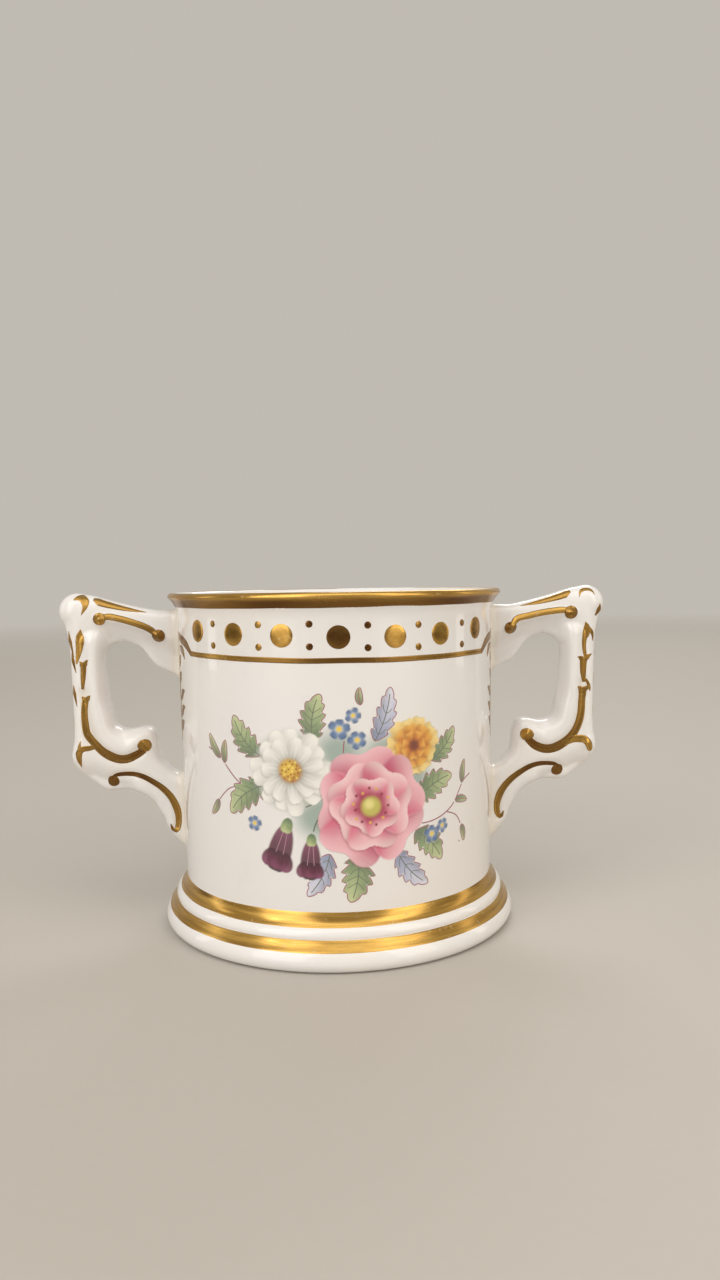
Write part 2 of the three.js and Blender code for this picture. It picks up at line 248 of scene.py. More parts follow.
# %% [markdown]
# ## Turning the cup on a wheel
# The body and the foot are thrown forms, so they are best made as on a wheel: draw half the section and
# spin it round the axis. A single vertex is dragged along the section by extruding it, and the spin
# tool makes the surface of revolution. The sections are in millimetres from the axis and the table.

# %% A wheel made of extrude and spin
WELD = 0.002 * MM
SMOOTH_UNDER = math.radians(50)


def bow(start, pull, end, steps):
    """A curve from start to end that leans towards pull, without its first point."""
    t = np.linspace(0, 1, steps + 1)[1:, None]
    a, b, c = (np.array(p, float) for p in (start, pull, end))
    return [tuple(p) for p in (1 - t) ** 2 * a + 2 * t * (1 - t) * b + t * t * c]


def around(centre, radius, degrees):
    """A point at a distance and direction from a centre."""
    a = math.radians(degrees)
    return (centre[0] + radius * math.cos(a), centre[1] + radius * math.sin(a))


def arc(centre, radius, start, end, steps):
    """Part of a circle between two angles in degrees, without its first point."""
    return [around(centre, radius, a) for a in np.linspace(start, end, steps + 1)[1:]]


def one_vertex(name, place):
    """A new object that is a single selected vertex, in edit mode."""
    bpy.ops.object.select_all(action="DESELECT")
    bpy.ops.mesh.primitive_plane_add(size=MM)
    piece = bpy.context.object
    piece.name = name
    bpy.ops.object.mode_set(mode="EDIT")
    bpy.ops.mesh.merge(type="CENTER")
    bpy.ops.transform.translate(value=[c * MM for c in place])
    return piece


def drag(spots):
    """Extrude the selected vertex from spot to spot."""
    for here, there in zip(spots, spots[1:]):
        step = [(b - a) * MM for a, b in zip(here, there)]
        bpy.ops.mesh.extrude_region_move(TRANSFORM_OT_translate={"value": step})


def turned(name, section, turns=168):
    """Drag a vertex along half a section and spin it once round the axis."""
    spots = [(r, 0, z) for r, z in section]
    piece = one_vertex(name, spots[0])
    drag(spots)
    bpy.ops.mesh.select_all(action="SELECT")
    bpy.ops.mesh.spin(steps=turns, angle=math.tau, center=(0, 0, 0), axis=(0, 0, 1))
    bpy.ops.mesh.select_all(action="SELECT")
    bpy.ops.mesh.remove_doubles(threshold=WELD)
    bpy.ops.mesh.normals_make_consistent(inside=False)
    bpy.ops.object.mode_set(mode="OBJECT")
    bpy.ops.object.shade_smooth_by_angle(angle=SMOOTH_UNDER)
    return piece


def dressed(piece, finish, slot, *nodes):
    """Give a piece its finish, and let it stand for its CAD solids, if it has any. The slot is not used."""
    piece.data.materials.clear()
    piece.data.materials.append(finish)
    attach(piece, "root")
    if nodes:
        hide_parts(*nodes)
    print(piece.name, len(piece.data.polygons), "faces")


print("the wheel is ready")

# %% [markdown]
# The body: from the middle of the floor inside, up the wall, over the rounded lip, down the outside and
# under the floor. The wall leans out by a third of a millimetre, and the lip flares in its last 3 mm.

# %% The body
WALL_LOW, WALL_HIGH, WALL_FROM, LIP_FROM = 18.85, 19.2, 6, 37
INSIDE_LOW, INSIDE_HIGH, FLOOR_Z, FLOOR_ROUND = 16.95, 17.3, 5.2, 3
LIP_MID, LIP_ROUND, FLARE_Z = (19.85, 39.5), 0.5, 38.5
LIP_OUT, LIP_IN = (20.35, 39.5), (19.35, 39.5)
FOOT_TOP, SPIGOT_R, BASE_Z = 5.85, 16.9, 2.2


def wall_radius(z):
    """The outside of the wall at a height, in millimetres."""
    share = (np.asarray(z, float) - WALL_FROM) / (LIP_FROM - WALL_FROM)
    return WALL_LOW + (WALL_HIGH - WALL_LOW) * share


lip_outside = arc(LIP_MID, LIP_ROUND, 90, 0, 8)
lip_outside += bow(LIP_OUT, (WALL_HIGH, FLARE_Z), (WALL_HIGH, LIP_FROM), 14)
rounding = (INSIDE_LOW - FLOOR_ROUND, FLOOR_Z + FLOOR_ROUND)
inside = [(r, FLOOR_Z) for r in (0, 6, 11, rounding[0])] + arc(rounding, FLOOR_ROUND, -90, 0, 10)
inside += [tuple(p) for p in np.linspace((INSIDE_LOW, rounding[1]), (INSIDE_HIGH, LIP_FROM), 9)[1:]]
inside += bow((INSIDE_HIGH, LIP_FROM), (INSIDE_HIGH, FLARE_Z), LIP_IN, 12)
inside += arc(LIP_MID, LIP_ROUND, 180, 90, 8)
outside = [(float(wall_radius(z)), z) for z in np.linspace(LIP_FROM, FOOT_TOP, 13)[1:]]
underneath = [(SPIGOT_R, FOOT_TOP), (SPIGOT_R, BASE_Z), (10, BASE_Z), (0, BASE_Z)]
body = turned("cup_wall", inside + lip_outside + outside + underneath)
dressed(body, china, "glazed_china", "cup_body")

# %% [markdown]
# The foot is a ring with a moulded outside: a hollow that will be gilded, a bead, a second hollow and a
# round moulding that stands on the table. Its section is a closed loop, so the ends meet and merge.

# %% The foot
MOULDING, MOULDING_R, MOULDING_OUT, MOULDING_TOP = (20.4, 1.05), 1.05, (21.45, 1.05), (21.02, 2.2)
BEAD_LOW, BEAD_TOP = (20.14, 3.28), (19.66, 4.43)
FOOT_EDGE, BORE_R = 5.9, 17.0
moulding = arc(MOULDING, MOULDING_R, -90, 0, 12) + bow(MOULDING_OUT, (21.45, 1.6), MOULDING_TOP, 10)
low_hollow = bow(MOULDING_TOP, (20.52, 2.69), BEAD_LOW, 10)
bead = bow(BEAD_LOW, (20.3, 3.9), BEAD_TOP, 10)
high_hollow = bow(BEAD_TOP, (19.03, 4.95), (WALL_LOW, 5.86), 12)
stand = [(17.65, 0), (19.2, 0), (20.4, 0)]
bore = [(WALL_LOW - 0.005, FOOT_EDGE), (BORE_R, FOOT_EDGE), (BORE_R, 3), (17.25, 0.4), (17.65, 0)]
foot = turned("moulded_foot", stand + moulding + low_hollow + bead + high_hollow + bore)
dressed(foot, china, "glazed_china", "foot_ring", "foot_slip_joint")

# %% [markdown]
# ## Reading and moving vertices
# Some shapes are easier to give as a rule for every vertex than to drag by hand: an edge that wanders, a
# casting that is rounded towards its outline. For that the vertices are read as an array in millimetres,
# and written back. What a material should know about a piece, such as how far its gold was rubbed, is
# written in the same way, as an attribute with one number for each vertex.


# %% Arrays of vertices and attributes
def spots_of(piece):
    """The vertices of a piece as an array, in millimetres."""
    co = np.empty(len(piece.data.vertices) * 3)
    piece.data.vertices.foreach_get("co", co)
    return co.reshape(-1, 3) / MM


def normals_of(piece):
    """The vertex normals of a piece as an array."""
    n = np.empty(len(piece.data.vertices) * 3)
    piece.data.vertex_normals.foreach_get("vector", n)
    return n.reshape(-1, 3)


def move_to(piece, spots):
    """Put the vertices of a piece at new places, in millimetres."""
    piece.data.vertices.foreach_set("co", (np.asarray(spots) * MM).ravel())
    piece.data.update()


def marked(piece, name, values):
    """Write a number for each vertex, or one for them all, as an attribute."""
    layer = piece.data.attributes.new(name, "FLOAT", "POINT")
    values = np.broadcast_to(np.asarray(values, np.float32), len(piece.data.vertices))
    layer.data.foreach_set("value", np.ascontiguousarray(values))
    return piece


print("vertices of the foot:", len(spots_of(foot)))

# %% [markdown]
# ## Gilded bands
# The gold on the lip and in the two hollows of the foot lies on the same section, so each band is a thin
# closed film: the section moved out by three hundredths of a millimetre, and back along the inside. The
# gilder holds the brush still and turns the cup, which leaves an edge that wanders a little.

# %% Films of gold on a section
PROUD, SUNK, THIN_EDGE = 0.03, 0.05, 0.004
BAND_TURNS, SWAY = 216, 0.035


def waves(turn, *parts):
    """A sum of (height, waves in a round, start) waves round the cup."""
    return sum(height * np.sin(count * turn + start) for height, count, start in parts)


def wander(piece, low, high):
    """Let the band's top and bottom edge drift up and down as a hand-held brush does."""
    here = spots_of(piece)
    turn = np.arctan2(here[:, 1], here[:, 0])
    share = (here[:, 2] - low) / (high - low) * 2 - 1
    top = waves(turn, (0.5, 3, 1), (0.3, 7, 2.3), (0.2, 17, 0)) * np.clip(share, 0, 1) ** 2
    bottom = waves(turn, (0.5, 2, 4), (0.3, 9, 0.7), (0.2, 19, 0)) * np.clip(-share, 0, 1) ** 2
    here[:, 2] += SWAY * (top + bottom)
    move_to(piece, here)
    return piece


def film(name, section):
    """A turned film along a section that runs downwards on the outside."""
    p = np.array(section, float)
    slope = np.gradient(p, axis=0)
    out = np.column_stack([-slope[:, 1], slope[:, 0]])
    out /= np.linalg.norm(out, axis=1)[:, None]
    lift = np.full(len(p), PROUD)
    lift[[0, -1]] = THIN_EDGE
    loop = np.vstack([p + out * lift[:, None], (p - out * SUNK)[::-1]])
    piece = turned(name, [tuple(q) for q in loop] + [tuple(loop[0])], turns=BAND_TURNS)
    return wander(piece, p[:, 1].min(), p[:, 1].max())


print("films are", PROUD, "mm proud")

# %% [markdown]
# The lip's band goes from just inside the crown down over the flare. A painted dark reflection makes its
# gold brown below the crown, on the underside of the flare, more in some places than in others, so the
# band's attribute for it grows below the crown and comes and goes round the lip.

# %% The gilded lip
CROWN, LIP_GOLD_LOW = (19.7, 39.977), 38.3
DARK_REFLECTION_BELOW, DARK_REFLECTION_OVER = 39.42, 0.3
lip_band = film("gilded_lip", [CROWN] + [p for p in lip_outside if p[1] > LIP_GOLD_LOW])
here = spots_of(lip_band)
# Painted dark reflection: the gold darkens below the crown, under the flare, and less in some places round
# the lip.
under_flare = np.clip((DARK_REFLECTION_BELOW - here[:, 2]) / DARK_REFLECTION_OVER, 0, 1)
turn = np.arctan2(here[:, 1], here[:, 0])
patches = 0.5 + 0.35 * np.cos(6 * turn + 1.9) + 0.15 * np.cos(11 * turn)
marked(lip_band, "dark_reflection", under_flare * (1 - 0.35 * patches))
dressed(lip_band, band_gold, "burnished_gold", "rim_gilding")

# %% The gilded hollows of the foot
for name, hollow, low_edge, node in (
    ("gilded_upper_hollow", high_hollow, BEAD_TOP, "upper_foot_gilding"),
    ("gilded_lower_hollow", low_hollow, MOULDING_TOP, "lower_foot_gilding"),
):
    dressed(film(name, hollow[::-1] + [low_edge]), band_gold, "burnished_gold", node)

# %% [markdown]
# ## The scroll handles
# Each handle is cast flat in a two-part mould: a top bar with a ball knob, an upright whose inner side
# is a fat roll that curls up into a volute, and a bowed leg. Seen from the front its outline is
# everything, so the piece starts as that outline, drawn through a few points and extruded. A plain
# bevel would break at the tight corners. Instead the plate is remeshed into small even faces, and
# each vertex is moved by its distance from the outline, which rounds the edges the way a mould does.

# %% The outline of a handle
TOP_Z, LEG_Z, DEEP_IN = 37.95, 8.7, 15.0
KNOB, KNOB_R, KNOB_SWEEP = (31.45, 37.95), 2.2, range(112, -46, -12)


def flowing(points, per=8):
    """A flowing line through a few points, as an array of many."""
    p = np.array(points, float)
    p = np.vstack([2 * p[0] - p[1], p, 2 * p[-1] - p[-2]])
    t = np.linspace(0, 1, per, endpoint=False)[:, None]
    runs = [
        0.5 * (2 * b + (c - a) * t + (2 * a - 5 * b + 4 * c - d) * t**2 + (3 * b - a - 3 * c + d) * t**3)
        for a, b, c, d in zip(p[:-3], p[1:-2], p[2:-1], p[3:])
    ]
    return np.vstack(runs + [p[-2:-1]])


def upper(out, up):
    """A point beside the wall, measured from the top bar's upper edge."""
    return (float(wall_radius(TOP_Z + up)) + out, TOP_Z + up)


def lower(out, up):
    """A point beside the wall, measured from the foot of the leg."""
    return (float(wall_radius(LEG_Z + up)) + out, LEG_Z + up)


def chain(start, runs):
    """Join several flowing runs; each begins where the last one ended."""
    line = [np.array([start], float)]
    for run in runs:
        line.append(flowing([tuple(line[-1][-1])] + run)[1:])
    return np.vstack(line)


bar_root, bar_top = [upper(1, 0)], [upper(3, 0.02), upper(6.8, 0.85), upper(10.4, 1.9)]
knob_round = [around(KNOB, KNOB_R, a) for a in KNOB_SWEEP]
upright_outside = [upper(13.4, -3.4), upper(13.25, -6), lower(13.15, 15.8), lower(13.25, 13.4)]
corner = [lower(13.6, 11.4), lower(13.1, 9.8), lower(11.6, 8.5), lower(10.05, 7.25)]
leg_under = [lower(9.15, 7), lower(6.55, 7), lower(4.15, 5.9), lower(2.6, 3.5)]
leg_end = [lower(2.1, 2.1), lower(0.6, 0.2)]
outer_edge = chain(
    (DEEP_IN, TOP_Z),
    [bar_root, bar_top, knob_round, upright_outside, corner, leg_under, leg_end, [(DEEP_IN, LEG_Z)]],
)
leg_top = [lower(0.4, 9), lower(2.1, 10.1), lower(2.9, 11.2), lower(3.1, 13.2)]
volute_top = [lower(3.55, 14.5), lower(4.65, 14.9), lower(6.35, 14.6), lower(7.45, 14.7)]
arch_side = [lower(8.35, 15.9), upper(9.15, -7), upper(9.05, -5.2)]
arch_head = [upper(8.15, -4.2), upper(6.7, -3.75)]
arch_root = [upper(4.85, -4.55), upper(3.15, -6.7), upper(1.6, -7.6), upper(0.3, -8.3)]
inner_edge = chain(
    (DEEP_IN, LEG_Z + 8.9),
    [leg_top, volute_top, arch_side, arch_head, arch_root, [(DEEP_IN, TOP_Z - 8.4)]],
)
print("outline:", len(outer_edge) + len(inner_edge), "points")

# %% [markdown]
# The plate: drag a vertex round the outline, close the face, and extrude it to the handle's thickness.
# The roots reach a little into the wall, as the real ones are luted on with slip.

# %% A flat plate from the outline
HALF_T, ROOT_X = 2.05, 18.4
PLATE_VOXEL, CASTING_VOXEL = 0.15, 0.125


def select_only(*pieces):
    """Select these pieces, the first one active."""
    bpy.ops.object.select_all(action="DESELECT")
    for piece in pieces:
        piece.select_set(True)
    bpy.context.view_layer.objects.active = pieces[0]


def applied(piece, kind, **settings):
    """Add a modifier to a piece, set it and apply it."""
    select_only(piece)
    bpy.ops.object.modifier_add(type=kind)
    tool = piece.modifiers[-1]
    for key, value in settings.items():
        setattr(tool, key, value)
    bpy.ops.object.modifier_apply(modifier=tool.name)


loop = np.vstack([outer_edge, inner_edge])
loop[:, 0] = np.maximum(loop[:, 0], ROOT_X)
spots = [(x, -HALF_T, z) for x, z in loop]
handle = one_vertex("right_scroll_handle", spots[0])
drag(spots + spots[:1])
bpy.ops.mesh.select_all(action="SELECT")
bpy.ops.mesh.remove_doubles(threshold=WELD)
bpy.ops.mesh.edge_face_add()
bpy.ops.mesh.extrude_region_move(TRANSFORM_OT_translate={"value": (0, 2 * HALF_T * MM, 0)})
bpy.ops.mesh.select_all(action="SELECT")
bpy.ops.mesh.normals_make_consistent(inside=False)
bpy.ops.object.mode_set(mode="OBJECT")
applied(handle, "REMESH", mode="VOXEL", voxel_size=PLATE_VOXEL * MM)
print("plate:", len(handle.data.vertices), "vertices")

# %% [markdown]
# Rounding: across the plate, the half thickness grows from the edge inwards along a quarter of a
# circle. The knob gets a larger radius, so it becomes a ball. Below a crest along the top bar, and below
# one at the outer corner, the casting thins towards its lower edge. Scaling each vertex's Y by that
# height turns the flat plate into a rounded casting, and a second remesh makes the faces even again.

# %% Round the plate
EDGE_ROUND, KNOB_SWELL = 1.25, 0.2
CREST_REACH, BAR_THINNED, CORNER_THINNED = 2.8, 1.3, 0.15
BAR_CREST = [(20, 34.9), (22.6, 36), (25.5, 36.8), (28.5, 37.1)]
CORNER_CREST = [(23.5, 20.0), (26, 19.3), (28.5, 20.0), (30, 20.6), (31.8, 20.5)]


def gap(spots, line):
    """The distance from each spot to the nearest point of a line."""
    spots, line = np.asarray(spots, float), np.asarray(line, float)
    best = np.full(len(spots), np.inf)
    for start, run in zip(line[:-1], np.diff(line, axis=0)):
        off = spots - start
        t = np.clip(off @ run / max(run @ run, 1e-12), 0, 1)
        off = off - t[:, None] * run
        best = np.minimum(best, off[:, 0] ** 2 + off[:, 1] ** 2)
    return np.sqrt(best)


def soft_step(value, low, high):
    """0 below low, 1 above high, smooth between."""
    t = np.clip((value - low) / (high - low), 0, 1)
    return t * t * (3 - 2 * t)


def below(spots, crest):
    """How far spots lie below a crest that runs from left to right, up to its reach."""
    run = flowing(crest)
    return np.clip(np.interp(spots[:, 0], run[:, 0], run[:, 1]) - spots[:, 1], 0, CREST_REACH)


def cast_height(spots):
    """Half the thickness of the rounded casting at (x, z) spots."""
    edge = np.minimum(gap(spots, outer_edge), gap(spots, inner_edge))
    ball = 1 - soft_step(np.hypot(spots[:, 0] - KNOB[0], spots[:, 1] - KNOB[1]), 1.5, 3.4)
    under_bar = soft_step(below(spots, BAR_CREST), 0, CREST_REACH) * soft_step(spots[:, 1], 25, 28)
    under_bar *= 1 - soft_step(spots[:, 0], 27.0, 29.3)
    under_corner = below(spots, CORNER_CREST) ** 2 * soft_step(spots[:, 0], 24, 27)
    thick = HALF_T + KNOB_SWELL * ball - BAR_THINNED * under_bar - CORNER_THINNED * under_corner
    rounding = np.minimum(EDGE_ROUND, 0.85 * thick)
    rounding = rounding + (0.9 * thick - rounding) * ball
    inward = rounding - np.minimum(edge, rounding)
    return thick - rounding + np.sqrt(np.maximum(rounding**2 - inward**2, 0))


here = spots_of(handle)
here[:, 1] *= cast_height(here[:, [0, 2]]) / HALF_T
move_to(handle, here)
applied(handle, "REMESH", mode="VOXEL", voxel_size=CASTING_VOXEL * MM)
applied(handle, "SMOOTH", factor=0.5, iterations=8)
print("rounded casting:", len(handle.data.vertices), "vertices")

# %% [markdown]
# Relief: each face carries a raised line with ball ends on the bar, and two lines pressed into the scroll
# and the leg, with a ball at the end of each. The gilder follows them with gold, so they are named here
# once. Between the scroll line and the opening the upright swells to a roll. The two faces aren't quite
# the same: the bar's line differs, and the front has a fifth swelling, without a gold ball, which lifts
# the stroke that turns the outer corner.

# %% Lines of the relief
FRONT_FACE = {
    "side": -1,
    "bar": [
        (21.7, 35.3), (22.45, 36.17), (23.83, 36.5), (25.2, 36.8), (26.6, 37.0), (28.0, 37.12), (29, 37.05)
    ],
    "balls": [(21.6, 35.02), (29.1, 36.83), (23.52, 21.75), (27.58, 17.02), (31.05, 20.42)],
}
BACK_FACE = {
    "side": 1,
    "bar": [(21.55, 35.0), (22.8, 35.86), (24.33, 36.48), (25.84, 36.95), (27.2, 37.26), (28.3, 37.2)],
    "balls": [(21.48, 34.85), (28.45, 37.02), (23.5, 21.5), (27.6, 17.02)],
}
scroll_line = [
    (30.75, 28.0), (30.6, 27.0), (30.5, 25.8), (30.42, 24.4), (30.1, 23.0), (29.45, 21.75),
    (28.45, 20.75), (27.05, 20.0), (25.8, 19.88), (24.55, 20.35), (23.75, 21.1),
]
leg_line = [
    (27.8, 17.45), (27.0, 17.85), (25.5, 17.98), (24.1, 17.72), (22.75, 17.0), (21.45, 16.05),
    (20.4, 14.8), (19.85, 13.5), (19.75, 12.4), (20.0, 11.35),
]
roll_line = [
    (29.35, 34.2), (29.25, 31), (29.0, 27), (28.75, 24.6),
    (28.1, 22.7), (26.9, 21.5), (25.6, 21.2), (24.5, 21.9)
]
print("relief lines:", len(scroll_line) + len(leg_line) + len(roll_line), "points")

# %% [markdown]
# Pressing it in: every line gives a soft hump or groove by the distance to it. The rises of all of them
# are added up, and each vertex moves along Y by the sum for its own face. Vertices that look sideways
# stay, so the outline doesn't change.

# %% Press the relief into both faces
ROLL_RISE, ROLL_WIDE = 0.58, 1.55
BAR_RISE, BALL_RISE, LINE_SOFT, CREST_SHIFT = 0.42, 0.32, 0.55, (0.05, -0.26)
SCROLL_DEEP, SCROLL_SOFT, LEG_DEEP, LEG_SOFT = 0.24, 0.6, 0.2, 0.46


def hump(away, wide):
    """1 at no distance, and falling off softly over a width."""
    return np.exp(-((away / wide) ** 2))


def pressed_lines(spots):
    """The depth of the two pressed lines."""
    deep = SCROLL_DEEP * hump(gap(spots, flowing(scroll_line)), SCROLL_SOFT)
    return deep + LEG_DEEP * hump(gap(spots, flowing(leg_line)), LEG_SOFT)


def relief(spots, face):
    """How far a face stands above (or below) the rounded casting, in millimetres."""
    rise = ROLL_RISE * np.clip(1 - (gap(spots, flowing(roll_line)) / ROLL_WIDE) ** 2, 0, 1) ** 1.5
    rise += BAR_RISE * hump(gap(spots, flowing(face["bar"]) + CREST_SHIFT), LINE_SOFT)
    for x, z in face["balls"]:
        rise += BALL_RISE * hump(np.hypot(spots[:, 0] - x, spots[:, 1] - z), LINE_SOFT)
    return rise - pressed_lines(spots)


here, facing = spots_of(handle), normals_of(handle)
flat = here[:, [0, 2]]
pressed = np.where(here[:, 1] < 0, relief(flat, FRONT_FACE), relief(flat, BACK_FACE))
here[:, 1] += np.sign(here[:, 1]) * pressed * soft_step(np.abs(facing[:, 1]), 0.15, 0.6)
move_to(handle, here)
applied(handle, "SMOOTH", factor=0.5, iterations=2)
print("relief from", round(pressed.min(), 2), "to", round(pressed.max(), 2), "mm")

# %% [markdown]
# The roots: slip is wiped into the corner where a handle meets the wall, which leaves a small hollow
# curve. Each vertex close to the wall moves sideways, along the wall, by the height of that curve.
# Glaze gathers in the same corners and in the pressed lines, and shade falls there, so both are written
# to the attribute of cream and painted shade that the china reads.

# %% Fillets at the roots
FILLET = 0.75
here, facing = spots_of(handle), normals_of(handle)
outwards = here * [1, 1, 0] / np.hypot(here[:, 0], here[:, 1])[:, None]
clear = np.hypot(here[:, 0], here[:, 1]) - wall_radius(here[:, 2])
sideways = facing - outwards * np.sum(facing * outwards, axis=1)[:, None]
sideways /= np.maximum(np.linalg.norm(sideways, axis=1), 0.35)[:, None]
near_wall = FILLET - np.clip(clear, 0, FILLET)
flare = FILLET - np.sqrt(np.maximum(FILLET**2 - near_wall**2, 0))
move_to(handle, here + sideways * flare[:, None])
applied(handle, "SMOOTH", factor=0.5, iterations=2)
# Painted shade with the pooled glaze: darker cream in the pressed lines and the corners at the roots.
pool_and_shade = 2 * pressed_lines(flat) + 0.6 * (1 - soft_step(clear, 0.1, 1.6))
marked(handle, "pool_and_shade", np.clip(pool_and_shade, 0, 1))
bpy.ops.object.shade_smooth()
print("handle:", len(handle.data.polygons), "faces")

# %% [markdown]
# Both handles come out of one mould, so the left one is a copy of the right one with its own mesh, turned
# half round the cup's axis. Each covers the pads of slip under its roots, which can't be seen once the
# cup is glazed.

# %% The left handle is the right one turned half round
HALF_TURN = Matrix.Rotation(math.pi, 4, "Z")


def twin(piece, name):
    """A copy of a piece with its own mesh, turned half round in the mesh."""
    select_only(piece)
    bpy.ops.object.duplicate()
    copy = bpy.context.object
    copy.name = name
    copy.data.transform(HALF_TURN)
    return copy


left = twin(handle, "left_scroll_handle")
for side, piece in (("right", handle), ("left", left)):
    joints = [f"{side}_{level}_slip_joint" for level in ("upper", "lower")]
    dressed(piece, china, "glazed_china", f"{side}_handle", *joints)

# %% [markdown]
# ## Gold brush strokes
# The rest of the gilding is brushwork. A stroke is made as on paper: a flat grid is bent along a line
# and given the brush's width at each point. The grid brings a UV map that runs along the stroke, which
# the gold reads for its streaks. Then the flat stroke is laid on the handle or wrapped on the wall, and
# a Solidify modifier gives it the thickness of a film.

# %% A brush
NARROWEST = 0.03


def brush(path, width, dark_reflection=None, across=6, step=0.13):
    """A flat stroke in the XY plane, in millimetres; width(d, length) is its width at a distance d.
    Its painted dark reflection, from 0 to 1, browns the gold: one value, or several along the stroke."""
    line = flowing(path, 12)
    along = np.concatenate([[0], np.cumsum(np.hypot(*np.diff(line, axis=0).T))])
    steps = max(6, round(along[-1] / step))
    bpy.ops.object.select_all(action="DESELECT")
    bpy.ops.mesh.primitive_grid_add(x_subdivisions=steps, y_subdivisions=across, size=1)
    stroke = bpy.context.object
    flat = spots_of(stroke) * MM
    d = (flat[:, 0] + 0.5) * along[-1]
    slope = np.gradient(line, along, axis=0)
    slope /= np.linalg.norm(slope, axis=1)[:, None]
    x, y = (np.interp(d, along, line[:, k]) for k in (0, 1))
    run_x, run_y = (np.interp(d, along, slope[:, k]) for k in (0, 1))
    side = flat[:, 1] * np.maximum(width(d, along[-1]), NARROWEST)
    move_to(stroke, np.column_stack([x - run_y * side, y + run_x * side, np.zeros(len(d))]))
    if dark_reflection is None:
        return stroke
    stations = np.atleast_1d(dark_reflection)
    return marked(stroke, "dark_reflection", np.interp(d / along[-1], np.linspace(0, 1, len(stations)), stations))


def swelling(*stations):
    """A width that passes through (share of the length, width) stations."""
    shares, widths = zip(*stations)
    return lambda d, length: np.interp(d / length, shares, widths)


def even(wide):
    """A width that stays the same."""
    return swelling((0, wide), (1, wide))


def spot(centre, radius, dark_reflection):
    """A round spot, made as one short stroke."""

    def width(d, length):
        return 2 * radius * np.sqrt(np.clip(1 - (2 * d / length - 1) ** 2, 0, 1))

    start, end = (centre[0], centre[1] - radius), (centre[0], centre[1] + radius)
    return brush([start, centre, end], width, dark_reflection, across=8, step=radius / 8)


print("brush ready")

# %% [markdown]
# Laying a stroke: on a handle's face the flat X and Y become X and Z, and a Shrinkwrap modifier presses
# the stroke on the relief. On the wall, X becomes the way round and Y the height. Both turn the faces
# outwards before the film gets its thickness.

# %% Lay strokes on the handle and on the wall
GOLD_FILM, CLEAR_OF_FACE, OFF_GLAZE = 0.035, 0.05, 0.022
WRAP_R, STROKE_LIFT = 19.05, 0.02


def face_out(piece, outwards):
    """Flip a stroke whose faces look inwards; outwards is one direction, or one for each vertex."""
    if np.sum(normals_of(piece) * outwards) < 0:
        select_only(piece)
        bpy.ops.object.mode_set(mode="EDIT")
        bpy.ops.mesh.select_all(action="SELECT")
        bpy.ops.mesh.flip_normals()
        bpy.ops.object.mode_set(mode="OBJECT")


def joined(name, pieces):
    """Join strokes to one piece with a name, shaded smooth."""
    select_only(*pieces)
    if len(pieces) > 1:
        bpy.ops.object.join()
    pieces[0].name = name
    bpy.ops.object.shade_smooth()
    return pieces[0]


def thickened(piece, thick):
    """Give a flat piece the thickness of a film, downwards from its face."""
    applied(piece, "SOLIDIFY", thickness=thick * MM, offset=-1)
    return piece


def on_face(stroke, face):
    """Stand a flat stroke up before one face of the right handle."""
    flat = spots_of(stroke)
    height = cast_height(flat[:, :2]) + relief(flat[:, :2], face) + CLEAR_OF_FACE
    move_to(stroke, np.column_stack([flat[:, 0], face["side"] * height, flat[:, 1]]))
    face_out(stroke, (0, face["side"], 0))


def on_edge(stroke, way, face):
    """Stand a flat stroke up beside the handle; way gives its place and its outward direction."""
    flat = spots_of(stroke)
    place, outward = way(flat[:, 0], flat[:, 1], face["side"])
    move_to(stroke, place)
    face_out(stroke, outward)
    return stroke


def pressed_on(name, strokes, target):
    """Join strokes, press them on a target and thicken them to a film."""
    piece = joined(name, strokes)
    applied(
        piece, "SHRINKWRAP", target=target, wrap_method="NEAREST_SURFACEPOINT",
        wrap_mode="ABOVE_SURFACE", offset=OFF_GLAZE * MM,
    )
    return thickened(piece, GOLD_FILM)


def on_wall(stroke, turn, lift=STROKE_LIFT):
    """Wrap a flat stroke round the wall: X is the way round from the front, Y the height, Z the lift."""
    flat = spots_of(stroke)
    angle = flat[:, 0] / WRAP_R + math.radians(turn)
    r = wall_radius(flat[:, 1]) + flat[:, 2] + lift
    move_to(stroke, np.column_stack([r * np.sin(angle), -r * np.cos(angle), flat[:, 1]]))
    face_out(stroke, spots_of(stroke) * [1, 1, 0])
    return stroke


print("strokes can be laid on the handle and on the wall")

# %% [markdown]
# The handle's gold: a line with ball ends on the top bar, a leaf along its ridge and a stroke on the
# knob; husks, which are small bell-shaped leaves, that drop down the upright into the scroll line, with
# a branch to the outer corner; and a bowed line on the leg. No two faces are painted quite alike, so there
# are two hands: a broad one for one diagonal pair of faces, and a lighter one for the other pair. Each
# stroke also says how far its gold is browned by a painted dark reflection.

# %% Lines with ball ends, and husks
BAR = swelling((0, 0.55), (0.1, 0.8), (0.9, 0.8), (1, 0.6))
LEG = swelling((0, 0.3), (0.08, 0.5), (0.4, 0.64), (0.75, 0.88), (0.95, 0.7), (1, 0.35))
FLICK = swelling((0, 0.06), (0.4, 0.45), (1, 0.05))
SHOULDER = swelling((0, 0.05), (0.4, 0.6), (1, 0.3))
HOOK = swelling((0, 0.3), (0.4, 0.5), (1, 0.12))


def husk(inner_tip, outer_tip, heart, wide, dark_reflection):
    """A bell-shaped leaf: a heart stroke that hangs down, and a flick at each shoulder."""
    flicks = []
    for tip in (inner_tip, outer_tip):
        middle = [0.45 * tip[0] + 0.55 * heart[0][0], 0.45 * tip[1] + 0.55 * heart[0][1] - 0.2]
        flicks.append(brush([tip, middle, heart[1]], SHOULDER, dark_reflection))
    hang = swelling((0, 0.8 * wide), (0.2, wide), (0.6, 0.82 * wide), (1, 0.4 * wide))
    return flicks + [brush(heart, hang, dark_reflection)]


